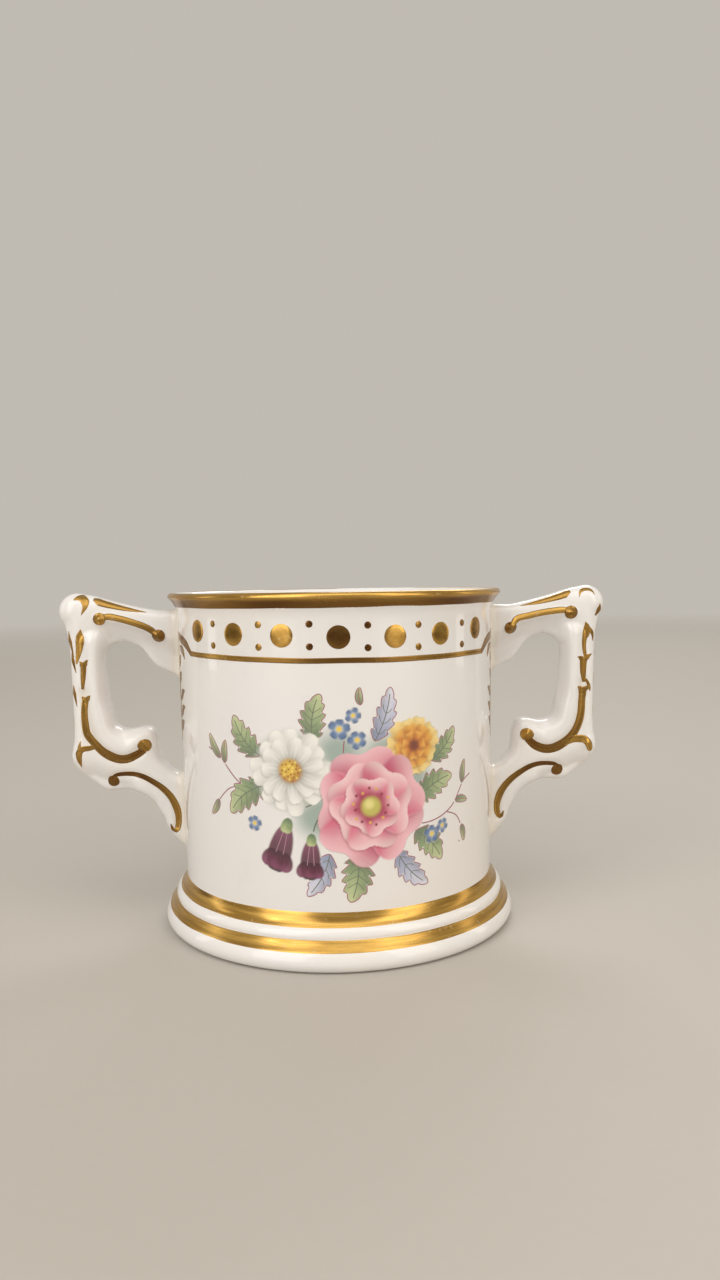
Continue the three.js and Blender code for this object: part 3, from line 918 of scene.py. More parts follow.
def ball_ends(face, sizes, dark_reflections):
    """The round ends of the bar, scroll and leg lines on a face: two, one and one."""
    return [spot(centre, size, dark_reflection) for centre, size, dark_reflection in zip(face["balls"], sizes, dark_reflections)]


print("husks and ball ends ready")

# %% The broad hand
# The last argument of each stroke and ball is its painted dark reflection.
balls = ball_ends(FRONT_FACE, (0.77, 0.84, 0.8, 0.76), (0.6, 0.6, 0.25, 0.8))
broad = {
    "top_bar": balls[:2] + [
        brush(FRONT_FACE["bar"], BAR, 0),
        brush([(30.21, 38.7), (30.45, 39.35), (31.19, 39.66), (31.88, 39.44), (32.16, 38.96)],
              swelling((0, 0.06), (0.3, 0.36), (0.7, 0.34), (1, 0.05)), 0.3),
        brush([(32.9, 37.8), (32.8, 37.1), (32.3, 36.35)], swelling((0, 0.1), (0.45, 0.72), (1, 0.2)), 0.6),
    ],
    "scroll": balls[2:3] + [
        brush([(30.94, 35.6), (31.13, 34.97), (31.04, 34.15), (30.86, 33.65), (30.78, 33.0), (30.82, 32.1),
               (31, 31.2)],
              swelling((0, 0.06), (0.13, 0.75), (0.33, 0.97), (0.45, 0.66), (0.6, 0.55), (1, 0.4)), 0.35),
        brush([(31.3, 34.95), (31.72, 34.45), (31.95, 33.9), (31.98, 33.2)],
              swelling((0, 0.35), (0.4, 0.48), (0.75, 0.28), (1, 0.06)), 0.45),
        *husk((29.86, 31.3), (31.84, 31.6),
              [(30.72, 31.3), (30.66, 30.4), (30.66, 29.3), (30.82, 28.1)], 0.95, 0.4),
        brush([(30.95, 28.5), (31.25, 28.1), (31.5, 27.5), (31.6, 26.9)],
              swelling((0, 0.3), (0.5, 0.42), (0.8, 0.3), (1, 0.05)), 0.45),
        *husk((29.9, 27.6), (31.62, 27.5),
              [(30.58, 27.5), (30.6, 26.8), (30.56, 26.2), (30.5, 25.4)], 1.08, 0.35),
        brush([(30.56, 26.6)] + scroll_line[2:] + [(23.6, 21.4)],
              swelling((0, 0.9), (0.25, 0.96), (0.42, 1.0), (0.62, 1.2), (0.85, 1.06), (1, 0.8)),
              (0.2, 0.6, 0.85)),
        brush([(28.3, 20.35), (29.2, 20.93), (30.03, 21.03), (30.83, 20.92), (31.33, 20.36), (31.66, 19.4)],
              swelling((0, 0.5), (0.2, 0.85), (0.5, 0.94), (0.75, 0.98), (0.94, 0.75), (1, 0.3)), 0.05),
    ],
    "leg": balls[3:] + [
        brush(leg_line, LEG, (1, 0.95, 0.5, 0.3)),
        brush([(19.95, 11.35), (20.3, 11.5), (20.62, 12.15)], HOOK, 0.6),
    ],
}
print("broad hand:", sum(len(strokes) for strokes in broad.values()), "strokes")

# %% The lighter hand
balls = ball_ends(BACK_FACE, (0.8, 0.78, 0.82, 0.72), (0.7, 0.25, 0.4, 0.85))
light = {
    "top_bar": balls[:2] + [
        brush(BACK_FACE["bar"], BAR, (0.7, 0.6, 0.25, 0.2, 0.3)),
        brush([(31.53, 39.4), (30.9, 39.62), (30.25, 39.3), (30.12, 38.59), (30.6, 37.5)],
              swelling((0, 0.15), (0.25, 0.78), (0.5, 0.95), (0.75, 0.45), (1, 0.04)), 0.2),
    ],
    "scroll": balls[2:3] + [
        brush([(30.75, 35.8), (30.86, 35.1), (30.88, 34.4), (31.02, 33.4), (31.22, 32.5), (31.42, 31.6)],
              swelling((0, 0.06), (0.2, 0.95), (0.35, 1.1), (0.6, 0.8), (0.8, 0.55), (1, 0.15)), 0.2),
        brush([(32.3, 35.6), (32.2, 34.6), (31.95, 33.4), (31.75, 32.4)], FLICK, 0.45),
        brush([(32.0, 33.0), (31.85, 31.9), (31.5, 30.5)], FLICK, 0.45),
        brush([(31.95, 29.0), (31.85, 28.0), (31.55, 26.4)], FLICK, 0.45),
        *husk((29.9, 32.15), (31.1, 31.9),
              [(30.55, 31.8), (30.58, 30.8), (30.66, 29.8), (30.78, 28.5)], 0.76, 0.4),
        *husk((29.8, 27.8), (30.98, 27.6),
              [(30.45, 27.5), (30.58, 26.7), (30.66, 25.8), (30.68, 24.8)], 0.84, 0.35),
        brush([(30.6, 26.8), (30.68, 26.0), (30.66, 24.6), (30.4, 23.0), *scroll_line[5:-1], (23.6, 20.95)],
              swelling((0, 0.7), (0.2, 0.82), (0.42, 0.92), (0.62, 1.14), (0.85, 1.02), (1, 0.8)),
              (0.2, 0.55, 0.85)),
        brush([(29.3, 21.5), (30.2, 21.3), (31.0, 21.2), (31.45, 20.8), (31.5, 20.0), (31.3, 18.9)],
              swelling((0, 0.5), (0.3, 0.66), (0.6, 0.84), (0.8, 0.6), (1, 0.06)), 0.35),
        brush([(31.25, 22.2), (31.4, 21.6), (31.45, 20.9)],
              swelling((0, 0.06), (0.6, 0.42), (1, 0.5)), 0.4),
    ],
    "leg": balls[3:] + [
        brush(leg_line[:7] + [(19.75, 13.2), (19.68, 12.0), (19.85, 11.1), (20.2, 10.6)], LEG,
              (1, 0.95, 0.4, 0.35)),
        brush([(20.05, 10.7), (20.45, 10.95), (20.7, 11.65)], HOOK, 0.6),
    ],
}
print("lighter hand:", sum(len(strokes) for strokes in light.values()), "strokes")

# %% [markdown]
# Two strokes don't lie on the face: the leaf along the ridge of the top bar, and the husks down the
# outside of the upright. They are drawn flat as well, and start beside the handle before being pressed
# on. The broad hand goes on the front of the right handle and the lighter one on its back, and a half
# turn takes copies of both to the left handle.

# %% Lay the strokes on all four faces
RIDGE_LEAF = [(29.2, 1.6), (28.2, 1.74), (26.8, 1.76), (25.2, 1.76), (22.9, 1.7)]
RIDGE_WIDE = swelling((0, 0.35), (0.1, 0.98), (0.35, 0.74), (0.7, 0.42), (1, 0.05))
SPINE_HUSKS = ((35.3, 2.6), (32.4, 2.2), (29.6, 3.6), (25.6, 3.4))
SPINE_WIDE = swelling((0, 0.15), (0.2, 0.7), (0.6, 0.45), (1, 0.05))
ABOVE_RIDGE, OUT_OF_SPINE = 1.35, 0.1
top_x, top_z = flowing(bar_root + bar_top).T
spine = outer_edge[(outer_edge[:, 0] > 31) & (outer_edge[:, 1] < 36)]
spine = spine[np.argsort(spine[:, 1])]


def along_ridge(x, off, side):
    """Just above the rounded edge of the top bar; off is the distance from the middle of the casting."""
    height = np.interp(x, top_x, top_z) + ABOVE_RIDGE - off
    return np.column_stack([x, side * off, height]), (0, side, 1)


def beside_spine(off, z, side):
    """Just outside the upright."""
    out = np.interp(z, spine[:, 1], spine[:, 0]) + OUT_OF_SPINE
    return np.column_stack([out, side * off, z]), (1, 0, 0)


hands = ((broad, FRONT_FACE, "right_{}_gold_front"), (light, BACK_FACE, "right_{}_gold_back"))
for hand, face, name in hands:
    for stroke in sum(hand.values(), []):
        on_face(stroke, face)
    hand["top_bar"].append(on_edge(brush(RIDGE_LEAF, RIDGE_WIDE, 0.3), along_ridge, face))
    for top, long in SPINE_HUSKS:
        hang = [(0.6, top), (0.85, top - 0.3 * long), (0.5, top - 0.7 * long), (0.2, top - long)]
        hand["scroll"].append(on_edge(brush(hang, SPINE_WIDE, 0.35), beside_spine, face))
    for part in hand:
        hand[part] = pressed_on(name.format(part), hand[part], handle)
for part in broad:
    faces = {
        f"right_{part}_gilding_front": broad[part],
        f"right_{part}_gilding_back": light[part],
        f"left_{part}_gilding_front": twin(light[part], f"left_{part}_gold_front"),
        f"left_{part}_gilding_back": twin(broad[part], f"left_{part}_gold_back"),
    }
    for node, piece in faces.items():
        dressed(piece, stroke_gold, "burnished_gold", node)

# %% [markdown]
# ## The frieze
# Under the lip runs a frieze of gold spots, seven on each side, with pairs of small dots between them
# and a line below. A spot is a dab of thick gold, a little domed: a filled circle is inset three times
# and raised, then wrapped on the wall. It is all done by eye, so each spot has its own angle and its own
# height, and the line climbs a little towards the left. Each spot, dot and stretch of line also has its
# own share of painted dark reflection.

# %% Spots, dots and lines
FACES = (("front", 0), ("back", 180))
WALL_FILM, DAB_LIFT = 0.05, 0.012
DOME = ((0.10, 0.022), (0.22, 0.010), (0.3, 0.006))
FRIEZE_Z, SPOT_R, SPOT_SIDES = 35.4, 1.25, 40
# The last number of each spot and dot, and the line's stations, give its painted dark reflection, deepest
# in the middle.
SPOTS = [(-54.8, 0.41, 0.2), (-36.3, 0.19, 0.2), (-18.5, 0.1, 0), (-0.3, -0.1, 0.85),
         (18.1, -0.18, 0), (35.4, -0.1, 0.15), (54.9, 0.2, 0.4)]
DOT_R, DOT_SIDES, DOT_HEIGHTS = 0.38, 18, (36.65, 34.27)
DOTS = [(-45.6, 0.03, 0.6), (-26.5, 0, 0.35), (-9.4, 0.06, 1),
        (9, -0.15, 1), (26.4, -0.27, 0.5), (46, -0.35, 0.85)]
LINE_Z, LINE_WIDE, LINE_END, LINE_DARK_REFLECTION = 32.83, 0.58, 61, (0.3, 0.1, 0.6, 0.8, 0.6, 0.3, 0.2)


def dab(centre_deg, z, radius, sides, turn):
    """A domed dab of gold on the wall."""
    bpy.ops.object.select_all(action="DESELECT")
    bpy.ops.mesh.primitive_circle_add(vertices=sides, radius=radius * MM, fill_type="NGON")
    piece = bpy.context.object
    bpy.ops.object.mode_set(mode="EDIT")
    for share, rise in DOME:
        bpy.ops.mesh.inset(thickness=share * radius * MM, depth=rise * MM)
    bpy.ops.mesh.poke()
    bpy.ops.object.mode_set(mode="OBJECT")
    move_to(piece, spots_of(piece) + [math.radians(centre_deg) * WRAP_R, z, 0])
    thickened(on_wall(piece, turn, lift=DAB_LIFT), WALL_FILM)
    bpy.ops.object.shade_smooth_by_angle(angle=SMOOTH_UNDER)
    return piece


def climb(angle):
    """How far the painter's line has climbed at an angle round the wall."""
    return 0.13 * (angle / 50) ** 2 - 0.14 * angle / 50


angles = np.linspace(-LINE_END, LINE_END, 25)
heights = LINE_Z + climb(angles) + 0.03 * np.sin(0.21 * angles + 1) * np.cos(0.05 * angles)
line_path = list(zip(np.radians(angles) * WRAP_R, heights))
for face, turn in FACES:
    for k, (angle, rise, dark_reflection) in enumerate(SPOTS, 1):
        piece = marked(dab(angle, FRIEZE_Z + rise, SPOT_R, SPOT_SIDES, turn), "dark_reflection", dark_reflection)
        piece.name = f"{face}_gold_spot_{k}"
        dressed(piece, dab_gold, "burnished_gold", f"{face}_frieze_disc_{k}")
    pairs = [(angle, z + rise, dark_reflection) for angle, rise, dark_reflection in DOTS for z in DOT_HEIGHTS]
    dots = [marked(dab(angle, z, DOT_R, DOT_SIDES, turn), "dark_reflection", dark_reflection) for angle, z, dark_reflection in pairs]
    dressed(joined(f"{face}_gold_dots", dots), dab_gold, "burnished_gold")
    line = on_wall(brush(line_path, even(LINE_WIDE), LINE_DARK_REFLECTION, step=0.2), turn)
    line = thickened(joined(f"{face}_gold_line", [line]), WALL_FILM)
    dressed(line, stroke_gold, "burnished_gold", f"{face}_frieze_line")

# %% [markdown]
# Beside each handle the line ends in two curling leaves, and a feathered stem hangs down the wall between
# the handle's roots. These are quick strokes, tapered at the tail.

# %% Sprigs beside the handles
SPRIG = [
    ([(60.2, 32.74), (62.2, 33.2), (65, 33.75), (69, 34.15), (75, 34.5), (81, 35.0)],
     (0.55, 1.0, 1.1, 0.9, 0.25)),
    ([(67.7, 32.0), (68.4, 32.5), (70.5, 33.0), (75, 33.4)], (0.2, 1.0, 0.9, 0.2)),
    ([(81, 35.2), (80.4, 33), (79.4, 30), (78.6, 27), (77.6, 24), (78.5, 22)], (0.1, 0.52, 0.5, 0.46, 0.1)),
]
LEAVES = [(32.3, 73.4), (30.3, 73.6), (28.3, 69.2), (26.4, 69.6), (24.6, 71.5)]
STEM_AT, FAR_TIP = 79, 88
LEAF = swelling((0, 0.14), (0.35, 1.05), (1, 0.1))


def round_the_wall(points, flip):
    """Turn (degrees, height) points into flat ones, mirrored for the left side, and as high as the line."""
    lift = climb(flip * LINE_END) - climb(LINE_END)
    return [(flip * math.radians(a) * WRAP_R, z + lift) for a, z in points]


# The sprigs' strokes and leaves carry a painted dark reflection of 0.6 and 0.65.
for face, turn in FACES:
    strokes = []
    for flip in (1, -1):
        for points, wide in SPRIG:
            stations = [(k / (len(wide) - 1), w) for k, w in enumerate(wide)]
            strokes.append(on_wall(brush(round_the_wall(points, flip), swelling(*stations), 0.6), turn))
        for z, near_tip in LEAVES:
            for tip in (near_tip, FAR_TIP):
                middle = 0.5 * (STEM_AT + tip)
                bend = 0.3 * tip + 0.7 * middle
                curl = [(tip, z), (bend, z - 0.35), (middle, z - 0.8), (STEM_AT, z - 1.6)]
                strokes.append(on_wall(brush(round_the_wall(curl, flip), LEAF, 0.65), turn))
    sprigs = thickened(joined(f"{face}_gold_sprigs", strokes), WALL_FILM)
    dressed(sprigs, stroke_gold, "burnished_gold")

# %% [markdown]
# ## Enamel painting
# The flowers are painted over the fired glaze in soft enamel colours: washes that fade and overlap, then
# thin lines in wine red and green that pull the shapes together. The washes are laid here the same way,
# on a fine grid of spots on the wall. Every spot keeps its colour and how well it is covered, and each
# wash is mixed over what lies below. The spray itself is a plain garden one, made up for this lesson.


# %% A palette and a painting
def tint(red, green, blue):
    """A colour as mixed on the palette, from 0 to 255, in the linear values that Blender uses."""
    c = np.array([red, green, blue]) / 255
    return np.where(c < 0.04045, c / 12.92, ((c + 0.055) / 1.055) ** 2.4)


class Painting:
    """Washes on spots (s round the wall, z up), and the lines that go on top, in millimetres."""

    def __init__(self, s, z):
        self.s, self.z = s, z
        self.ink = np.zeros((len(s), 3))
        self.cover = np.zeros(len(s))
        self.lines = []

    def lay(self, share, colour):
        """Lay a colour (one, or one for each spot) where share goes from 0, bare, to 1, full."""
        share = np.clip(share, 0, 1)
        self.ink += share[:, None] * (colour - self.ink)
        self.cover += share * (1 - self.cover)

    def line(self, points, wide, colour):
        """Keep a line to draw with the fine brush, as close points that can be hidden one by one."""
        points = np.asarray(points, float)
        steps = np.concatenate([[0], np.cumsum(np.hypot(*np.diff(points, axis=0).T))])
        d = np.linspace(0, steps[-1], max(3, round(steps[-1] / 0.16)))
        close = np.column_stack([np.interp(d, steps, points[:, k]) for k in (0, 1)])
        self.lines.append([close, np.ones(len(d), bool), wide, colour])

    def hide(self, inside):
        """Hide the parts of earlier lines where inside, a function of s and z, is over a half."""
        for points, seen, _, _ in self.lines:
            seen &= inside(points[:, 0], points[:, 1]) < 0.5

    def drawn(self):
        """The runs of each line that are still seen, with their width and colour."""
        for points, seen, wide, colour in self.lines:
            cuts = np.flatnonzero(np.diff(seen.astype(int))) + 1
            for run, shown in zip(np.split(points, cuts), np.split(seen, cuts)):
                if shown[0] and len(run) > 3:
                    yield run, wide, colour


WINE, MOSS, SHADOW = tint(150, 62, 84), tint(78, 92, 64), tint(128, 96, 92)
PINK = (tint(160, 34, 74), tint(212, 90, 124), tint(243, 190, 198))
BLUSH = (tint(166, 36, 78), tint(222, 112, 140), tint(247, 210, 212))
WHITE = (tint(150, 156, 148), tint(226, 225, 218), tint(247, 244, 238))
AMBER = (tint(150, 62, 22), tint(212, 126, 36), tint(236, 180, 78))
LEMON = (tint(196, 112, 34), tint(232, 182, 84), tint(246, 220, 142))
PLUM = (tint(134, 62, 98), tint(96, 24, 56), tint(66, 14, 38))
SKY = (tint(220, 226, 236), tint(104, 134, 176), tint(76, 102, 148))
SAGE = (tint(96, 122, 82), tint(140, 162, 108), tint(196, 206, 150))
LILAC = (tint(140, 150, 182), tint(184, 188, 214), tint(222, 222, 236))
print("palette mixed")

# %% [markdown]
# One form makes petals and leaves alike. It runs from a base to a tip, is widest at a chosen share of its
# length, may bow to one side, and may have teeth or a notched tip. Its wash goes from a root colour
# through a body colour to a rim, with one side darker and fine streaks from the root.


# %% One form for petals and leaves
class Form:
    """A petal or leaf: maps spots to u along it and v across it, and gives its outline."""

    def __init__(self, base, tip, wide, fat, point, bend=0.0, teeth=0, notch=0.0, soft=0.05):
        self.base = np.array(base, float)
        self.run = np.array(tip, float) - self.base
        self.long = np.hypot(*self.run)
        self.side = np.array([-self.run[1], self.run[0]]) / self.long
        self.wide, self.bend, self.teeth, self.notch = wide, bend * self.long, teeth, notch
        self.p, self.q, self.soft = point * fat, point * (1 - fat), soft

    def half(self, u):
        """Half the width at u."""
        u = np.clip(u, 0, 1)
        peak = (self.p / (self.p + self.q)) ** self.p * (self.q / (self.p + self.q)) ** self.q
        half = 0.5 * self.wide * u**self.p * (1 - u) ** self.q / peak
        if self.teeth:
            half = half * (1 + 0.5 * ((u * self.teeth) % 1 - 0.6) * soft_step(1 - u, 0, 0.15))
        return half

    def dent(self, across):
        """How much the notch shortens the form at a distance from its middle."""
        return 1 - self.notch * hump(across, 0.16 * self.wide)

    def spots(self, s, z):
        """u, v and how far inside each spot is, 0 to 1."""
        off_s, off_z = s - self.base[0], z - self.base[1]
        u = (off_s * self.run[0] + off_z * self.run[1]) / self.long**2
        across = off_s * self.side[0] + off_z * self.side[1] - 4 * self.bend * u * (1 - u)
        u = u / self.dent(across)
        half = self.half(u)
        inside = soft_step(half - np.abs(across), -self.soft, 2 * self.soft) * (u > 0) * (u < 1)
        return u, across / np.maximum(half, 0.02), inside

    def at(self, u, share):
        """The point at u along the form, at a share (-1 to 1) of its half width."""
        u = np.asarray(u, float)
        across = share * self.half(u)
        along = u * self.dent(across)
        lean = 4 * self.bend * along * (1 - along)
        return self.base + along[:, None] * self.run + (across + lean)[:, None] * self.side

    def outline(self):
        """The outline from one side of the base round the tip to the other."""
        u = 1 - np.linspace(1, 0, 24 + 8 * self.teeth) ** 1.5
        return np.vstack([self.at(u, 1), self.at(u[::-1], -1)])


def wash(art, form, colours, full=0.96, streak=0.16, dark_side=0.16):
    """Lay a form's wash, from its root colour through its body to its rim."""
    u, v, inside = form.spots(art.s, art.z)
    root, body, rim = colours
    to_body = soft_step(u, 0.0, 0.55)[:, None]
    to_rim = soft_step(np.maximum(u, np.abs(v) ** 2 * 0.8), 0.55, 1.0)[:, None]
    colour = root + (body - root) * to_body
    colour = colour + (rim - colour) * to_rim
    glow = (0.55 * hump(u - 0.66, 0.2) * hump(v + 0.35, 0.42))[:, None]
    colour = colour + (rim - colour) * glow
    rays = 1 - streak * (0.5 + 0.5 * np.sin(11 * v + 2 * u)) * (1 - soft_step(u, 0.3, 0.9))
    colour = colour * (rays * (1 - dark_side * soft_step(v, -0.1, 1.0)))[:, None]
    art.lay(full * inside, colour)
    art.hide(lambda s, z: form.spots(s, z)[2])


print("petals and leaves ready")

# %% [markdown]
# The plants: a flower is rings of petals round a centre, the back ring first. Leaves get a midrib and side
# veins. Each is given by its place and size, so the spray below reads as a list.

# %% Flowers and leaves
BOLD, FINE, THIN, EDGE, HAIR = 0.15, 0.13, 0.12, 0.10, 0.07


def ring(art, centre, inner, outer, count, turn, wide, colours, **shape):
    """A ring of soft petals round a centre, each with a shadow on the one below."""
    for k in range(count):
        way = turn + 360 * k / count + 4 * math.sin(2.4 * k)
        reach = outer * (1 - 0.06 * (k % 2) - 0.04 * math.sin(1.7 * k))
        form = Form(around(centre, inner, way), around(centre, reach, way), wide, soft=0.11, **shape)
        shade = form.spots(art.s + 0.14, art.z + 0.18)[2]
        art.lay(0.34 * shade * art.cover, 0.6 * colours[0] + 0.4 * SHADOW)
        wash(art, form, colours)


def disc(art, centre, radius, colour, soft=0.3, full=1.0):
    """A round touch of colour with a soft edge."""
    away = np.hypot(art.s - centre[0], art.z - centre[1])
    art.lay(full * (1 - soft_step(away, radius * (1 - soft), radius * (1 + soft))), colour)


def rose(art, centre, radius, turn):
    """An open rose with three rings of notched petals and a ring of stamens."""
    rings = ((1.0, 1.14, 0, PINK), (0.74, 0.9, 33, BLUSH), (0.5, 0.62, 62, BLUSH))
    for reach, wide, twist, colours in rings:
        ring(art, centre, 0.02 * radius, reach * radius, 5, turn + twist, wide * radius, colours,
             fat=0.7, point=0.9, notch=0.09)
    disc(art, centre, 0.24 * radius, tint(160, 38, 74), 0.6)
    disc(art, centre, 0.17 * radius, tint(196, 188, 92))
    gleam = (centre[0] - 0.03 * radius, centre[1] + 0.04 * radius)
    disc(art, gleam, 0.08 * radius, tint(232, 220, 140), 0.6)
    for k in range(15):
        way = 24 * k + 6 * math.sin(3.1 * k)
        head = around(centre, radius * (0.30 + 0.03 * math.sin(2.2 * k)), way)
        disc(art, head, 0.15, tint(226, 178, 70) if k % 2 else tint(140, 40, 60))


def daisy(art, centre, radius, turn):
    """A daisy: slim white petals in two rings and a domed yellow centre."""
    disc(art, centre, 0.9 * radius, tint(196, 200, 190), 0.16)
    for reach, count, twist, wide in ((1, 13, 0, 0.42), (0.78, 11, 13, 0.36)):
        ring(art, centre, 0.1 * radius, reach * radius, count, turn + twist, wide * radius, WHITE,
             fat=0.66, point=0.8)
    disc(art, centre, 0.27 * radius, tint(186, 128, 40))
    gleam = (centre[0] - 0.04 * radius, centre[1] + 0.05 * radius)
    disc(art, gleam, 0.20 * radius, tint(226, 186, 66), 0.5)
    for k in range(26):
        dot = around(centre, radius * 0.25 * math.sqrt((k + 0.5) / 26), 137.5 * k)
        disc(art, dot, 0.11, tint(150, 92, 36) if k % 3 else tint(244, 222, 120))


def marigold(art, centre, radius, turn):
    """A marigold: three rings of short broad petals, lemon outside and amber inside."""
    for inner, reach, count, wide, colours in ((0.1, 1, 11, 0.56, LEMON), (0.1, 0.76, 9, 0.48, AMBER),
                                               (0.05, 0.48, 7, 0.36, AMBER)):
        ring(art, centre, inner * radius, reach * radius, count, turn + 15 * count, wide * radius, colours,
             fat=0.72, point=0.8, notch=0.06)
    disc(art, centre, 0.16 * radius, tint(120, 52, 26), 0.6)


def small_blue(art, centre, radius, turn):
    """A small blue flower with five round petals and a yellow eye."""
    ring(art, centre, 0.05 * radius, radius, 5, turn, 0.86 * radius, SKY, fat=0.62, point=0.7)
    disc(art, centre, 0.26 * radius, tint(238, 206, 92))


def bell(art, top, mouth, wide):
    """A hanging bellflower with a flared, three-lobed mouth and a small green cap."""
    top, mouth = np.array(top, float), np.array(mouth, float)
    run = mouth - top
    side = np.array([-run[1], run[0]]) / np.hypot(*run)
    wash(art, Form(top, top + 1.16 * run, wide, fat=0.62, point=0.7, soft=0.09), PLUM)
    for share in (-0.42, 0.42, 0):
        root = top + 0.66 * run + 0.5 * share * wide * side
        tip = mouth + run * 0.10 + 1.15 * share * wide * side
        lobe = Form(root, tip, 0.62 * wide, fat=0.55, point=0.9, soft=0.08)
        wash(art, lobe, PLUM[::-1], streak=0.3)
    for share in (-0.25, 0.3):
        beside = share * wide * side
        vein = [top + 0.2 * run + 0.3 * beside, top + 0.75 * run + 0.6 * beside]
        art.line(vein, HAIR, tint(176, 116, 148))
    wash(art, Form(top - 0.16 * run, top + 0.2 * run, 0.5 * wide, fat=0.6, point=0.7), SAGE)


def leaf(art, base, tip, wide, bend=0.06, colours=SAGE, teeth=5, veins=4):
    """A toothed leaf with a midrib and side veins."""
    form = Form(base, tip, wide, fat=0.42, point=1.25, bend=bend, teeth=teeth)
    wash(art, form, colours, full=0.92, streak=0.05, dark_side=0.3)
    art.line(form.outline(), EDGE, WINE)
    art.line(form.at(np.linspace(0, 0.9, 12), 0), EDGE, MOSS if veins else WINE)
    for k in range(veins):
        u = 0.12 + 0.6 * k / veins
        for share in (-0.7, 0.7):
            art.line(form.at([u, u + 0.06, u + 0.14], np.array([0, 0.5, 1]) * share), HAIR, MOSS)


def stem(art, points, wide=FINE, colour=WINE):
    """A thin stem through a few points."""
    art.line(flowing(points, 6), wide, colour)


print("flowers and leaves ready")

# %% [markdown]
# The front spray, from the back to the front: stems and leaves first, then the smaller flowers, then the
# large ones that hide where everything meets.

# %% The front spray
STEMS = [
    ([(-4.0, 17.5), (-8.5, 18.0), (-12.0, 19.6), (-14.6, 22.0), (-16.6, 22.9)], FINE, WINE),
    ([(-11.4, 19.2), (-13.4, 18.6), (-15.2, 17.0)], THIN, WINE),
    ([(5.5, 15.0), (10.2, 14.8), (13.4, 16.0), (15.4, 18.4), (17.0, 19.2)], FINE, WINE),
    ([(12.6, 15.5), (14.2, 14.8), (15.3, 13.2)], THIN, WINE),
    ([(0.6, 19.0), (0.2, 23.0), (0.8, 26.2), (2.2, 28.2)], FINE, WINE),
    ([(-1.6, 18.2), (-4.6, 16.9), (-5.9, 15.4)], BOLD, MOSS),
    ([(-1.8, 17.2), (-2.8, 15.6), (-3.3, 14.0)], BOLD, MOSS),
]
GREEN_SHADE = tint(132, 158, 146)
SHADED = [((-0.4, 22.8), 2.4), ((4.8, 22.4), 2.3), ((-2.6, 16.4), 2.3), ((7.6, 19.8), 2.2)]
BUDS = [
    ((-14.6, 21.9), (-16.4, 24.5), 1.0), ((-13.9, 21.4), (-13.7, 24.0), 0.95),
    ((-15.0, 17.2), (-16.4, 15.4), 0.9), ((15.3, 18.3), (15.7, 21.0), 0.95),
    ((15.1, 13.6), (15.6, 11.6), 0.9), ((14.0, 16.6), (16.3, 16.2), 0.85), ((2.1, 28.1), (2.0, 30.0), 0.8),
]
LILAC_LEAVES = [((-1.4, 12.2), (-3.9, 7.6), 2.3, 0.08), ((6.0, 12.0), (9.8, 8.0), 2.4, -0.08),
                ((3.6, 24.2), (5.4, 29.9), 2.2, -0.06)]
GREEN_LEAVES = [
    ((-8.6, 19.4), (-13.2, 16.0), 3.1, -0.10), ((-9.0, 22.6), (-12.4, 26.8), 2.7, 0.10),
    ((-3.0, 24.4), (-2.2, 29.4), 2.6, 0.08), ((1.6, 12.0), (0.8, 6.9), 3.2, 0.07),
    ((8.6, 17.6), (13.4, 19.6), 2.9, 0.08), ((8.2, 14.0), (11.8, 10.4), 2.8, 0.08),
    ((10.2, 21.6), (13.8, 24.9), 2.4, -0.10),
]
BLUES = [((-0.2, 25.6), 1.2, 10), ((1.7, 24.4), 1.05, 40), ((1.3, 27.0), 0.9, 70),
         ((10.4, 13.4), 1.05, 20), ((11.9, 14.1), 0.85, 55), ((-9.9, 15.2), 0.9, 5)]


def front_spray(art):
    """A garden spray: an open rose, a daisy, a marigold, bellflowers and small blue flowers."""
    for points, wide, colour in STEMS:
        stem(art, points, wide, colour)
    for centre, size in SHADED:
        disc(art, centre, size, GREEN_SHADE, 0.6, 0.8)
    for base, tip, wide in BUDS:
        leaf(art, base, tip, wide, teeth=0, veins=0)
    for base, tip, wide, bend in LILAC_LEAVES:
        leaf(art, base, tip, wide, bend, LILAC, veins=3)
    for base, tip, wide, bend in GREEN_LEAVES:
        leaf(art, base, tip, wide, bend)
    bell(art, (-6.0, 15.3), (-7.4, 10.9), 2.8)
    bell(art, (-3.35, 13.8), (-3.6, 10.0), 2.3)
    for centre, size, turn in BLUES:
        small_blue(art, centre, size, turn)
    marigold(art, (8.1, 23.4), 3.3, 8)
    daisy(art, (-5.5, 21.1), 4.7, 4)
    rose(art, (3.1, 17.2), 6.3, 100)


print("front spray:", len(STEMS), "stems and", len(BUDS + LILAC_LEAVES + GREEN_LEAVES), "leaves")

# %% [markdown]
# The back has a smaller spray of the same plants, because that side is seen less.


# %% The back spray
def back_spray(art):
    """A smaller spray for the back: a daisy between a small rose, leaves and small blue flowers."""
    stem(art, [(-4.6, 15.4), (-1.8, 17.0), (0.8, 18.2), (3.4, 21.0), (4.4, 23.8)])
    stem(art, [(0.6, 18.0), (3.6, 17.6), (5.8, 16.2)], THIN)
    leaf(art, (-1.6, 17.2), (-4.4, 20.6), 2.2)
    leaf(art, (1.8, 18.9), (5.6, 19.4), 2.0, -0.08)
    leaf(art, (-2.6, 16.4), (-4.2, 12.6), 2.0, colours=LILAC, veins=3)
    leaf(art, (1.2, 16.4), (2.8, 12.8), 2.2)
    for centre, size, turn in (((5.9, 16.0), 0.9, 0), ((4.9, 14.9), 0.75, 30), ((-4.9, 15.3), 0.8, 12)):
        small_blue(art, centre, size, turn)
    rose(art, (4.3, 24.0), 2.3, 100)
    daisy(art, (0.0, 17.4), 3.4, 4)


print("back spray ready")

